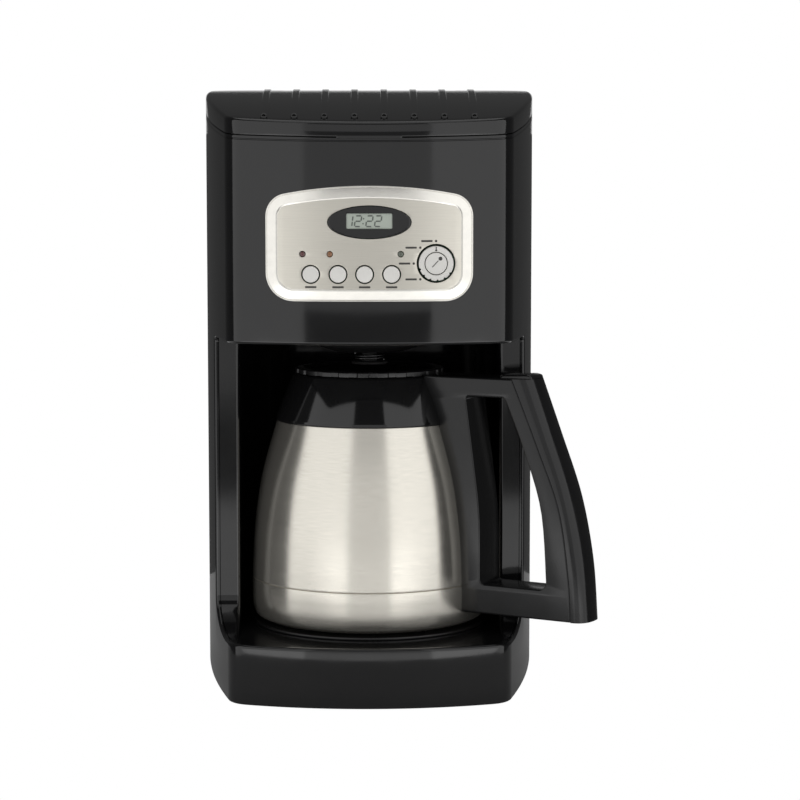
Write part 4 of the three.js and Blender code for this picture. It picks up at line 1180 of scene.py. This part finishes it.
def finish_nodes():
    looks = {
        "head_floor": SATIN_BLACK, "base_plate": SATIN_BLACK, "lid_liner": SATIN_BLACK,
        "water_tank": SATIN_BLACK, "shower_head": SATIN_BLACK, "water_level_window": LEVEL_WINDOW,
        "lid_hinge_pin": SCREW_STEEL, "cord_gland": BLACK_RUBBER, "circuit_board": BOARD_GREEN,
        "water_filter_holder": WHITE_PLASTIC, "inlet_hose": SILICONE, "riser_tube": SILICONE,
        "heater_element": ALUMINIUM, "thermostat": SCREW_STEEL, "carafe_liner": LINER_STEEL,
    }
    looks.update({f"base_screw_{i}": SCREW_STEEL for i in range(1, 5)})
    for name, look in looks.items():
        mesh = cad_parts[name].data
        mesh.materials.clear()
        mesh.materials.append(look)


# ------------------------------------------------------------------ studio

CAMERA_AT = (0.0, -1447.4, 315.3)
CAMERA_LENS = 108.0
CAMERA_PITCH, CAMERA_YAW = 5.65, 0.73
FLOOR_HALF = (0.32, 0.36)
ROOM_GREY = 0.055


def build_camera():
    data = bpy.data.cameras.new("camera")
    data.lens, data.sensor_width = CAMERA_LENS, 36.0
    camera = bpy.data.objects.new("camera", data)
    camera.location = place(CAMERA_AT)
    camera.rotation_euler = (math.radians(90 - CAMERA_PITCH), 0.0, math.radians(-CAMERA_YAW))
    bpy.context.scene.collection.objects.link(camera)
    bpy.context.scene.camera = camera


def area_light(name, width, height, brightness, location, rotation):
    """A soft light; brightness is how white it looks in a mirror."""
    data = bpy.data.lights.new(name, "AREA")
    data.shape, data.size, data.size_y = "RECTANGLE", width, height
    data.energy = brightness * math.pi * width * height
    light = bpy.data.objects.new(name, data)
    light.location, light.rotation_euler = location, rotation
    light.visible_camera = False
    bpy.context.scene.collection.objects.link(light)


def softbox(name, azimuths, heights, brightness, distance=1.3):
    """A soft light round the machine, between two azimuths from the front and two heights."""
    turn = math.radians(sum(azimuths) / 2)
    width = 2 * distance * math.tan(math.radians(azimuths[1] - azimuths[0]) / 2)
    low, high = heights
    centre = place((0, 0, 0))
    at = (centre.x + distance * math.sin(turn), centre.y - distance * math.cos(turn), (low + high) / 2)
    area_light(name, width, high - low, brightness, at, (math.radians(90), 0.0, turn))


def white_for_camera(tree, other):
    """The shader other for every ray but the camera's, which sees plain white."""
    white = node(tree, "ShaderNodeEmission", {"Color": (1, 1, 1, 1), "Strength": 1.0})
    path = node(tree, "ShaderNodeLightPath")
    return node(tree, "ShaderNodeMixShader", {
        0: path.outputs["Is Camera Ray"], 1: other, 2: white.outputs[0]})


def build_floor():
    made, tree, shader = material_of("pale_studio_floor")
    tree.links.new(blend_colours(tree, noise(tree, 3.0), (0.56, 0.56, 0.56), (0.58, 0.58, 0.58)),
                   shader.inputs["Base Color"])
    shader.inputs["Roughness"].default_value = 0.6
    seen = white_for_camera(tree, shader.outputs[0])
    tree.links.new(seen.outputs[0], tree.nodes["Material Output"].inputs["Surface"])
    mesh = bpy.data.meshes.new("floor")
    x, y = FLOOR_HALF
    mesh.from_pydata([(-x, -y, 0), (x, -y, 0), (x, y, 0), (-x, y, 0)], [], [(0, 1, 2, 3)])
    mesh.materials.append(made)
    floor = bpy.data.objects.new("floor", mesh)
    floor.location.z = -0.0002
    bpy.context.scene.collection.objects.link(floor)


def build_world():
    """White for the camera, dim grey for everything else."""
    world = bpy.data.worlds.new("studio")
    bpy.context.scene.world = world
    world.use_nodes = True
    tree = world.node_tree
    tree.nodes.clear()
    dim = node(tree, "ShaderNodeBackground", {"Color": (1, 1, 1, 1), "Strength": ROOM_GREY})
    seen = white_for_camera(tree, dim.outputs[0])
    node(tree, "ShaderNodeOutputWorld", {"Surface": seen.outputs[0]})


def build_studio():
    build_camera()
    build_world()
    build_floor()
    softbox("softbox_left", (-85, -21), (-0.5, 1.7), 1.1)
    softbox("softbox_right", (20, 84), (-0.5, 1.7), 1.2)
    softbox("fill_low", (-21, 20), (-0.7, -0.04), 0.12, 2.2)
    softbox("fill_high", (-21, 20), (-0.04, 1.5), 0.72, 2.2)
    softbox("card_behind", (168, 192), (0.35, 0.5), 0.5, 1.5)
    for start in (90, 150, 210):
        softbox(f"low_rear_{start}", (start, start + 60), (-1.1, -0.3), 0.8)
    area_light("card_before", 1.2, 0.5, 1.25, (0.0, -0.62, -0.001), (math.pi, 0.0, 0.0))
    area_light("overhead", 1.2, 2.2, 0.8, (0.0, 0.1, 1.6), (0.0, 0.0, 0.0))
    view = bpy.context.scene.view_settings
    view.view_transform = "Standard"


build_studio()
build_casing()
build_lid()
build_panel()
build_brewing()
build_carafe_body()
build_carafe_lid()
build_handle()
finish_nodes()
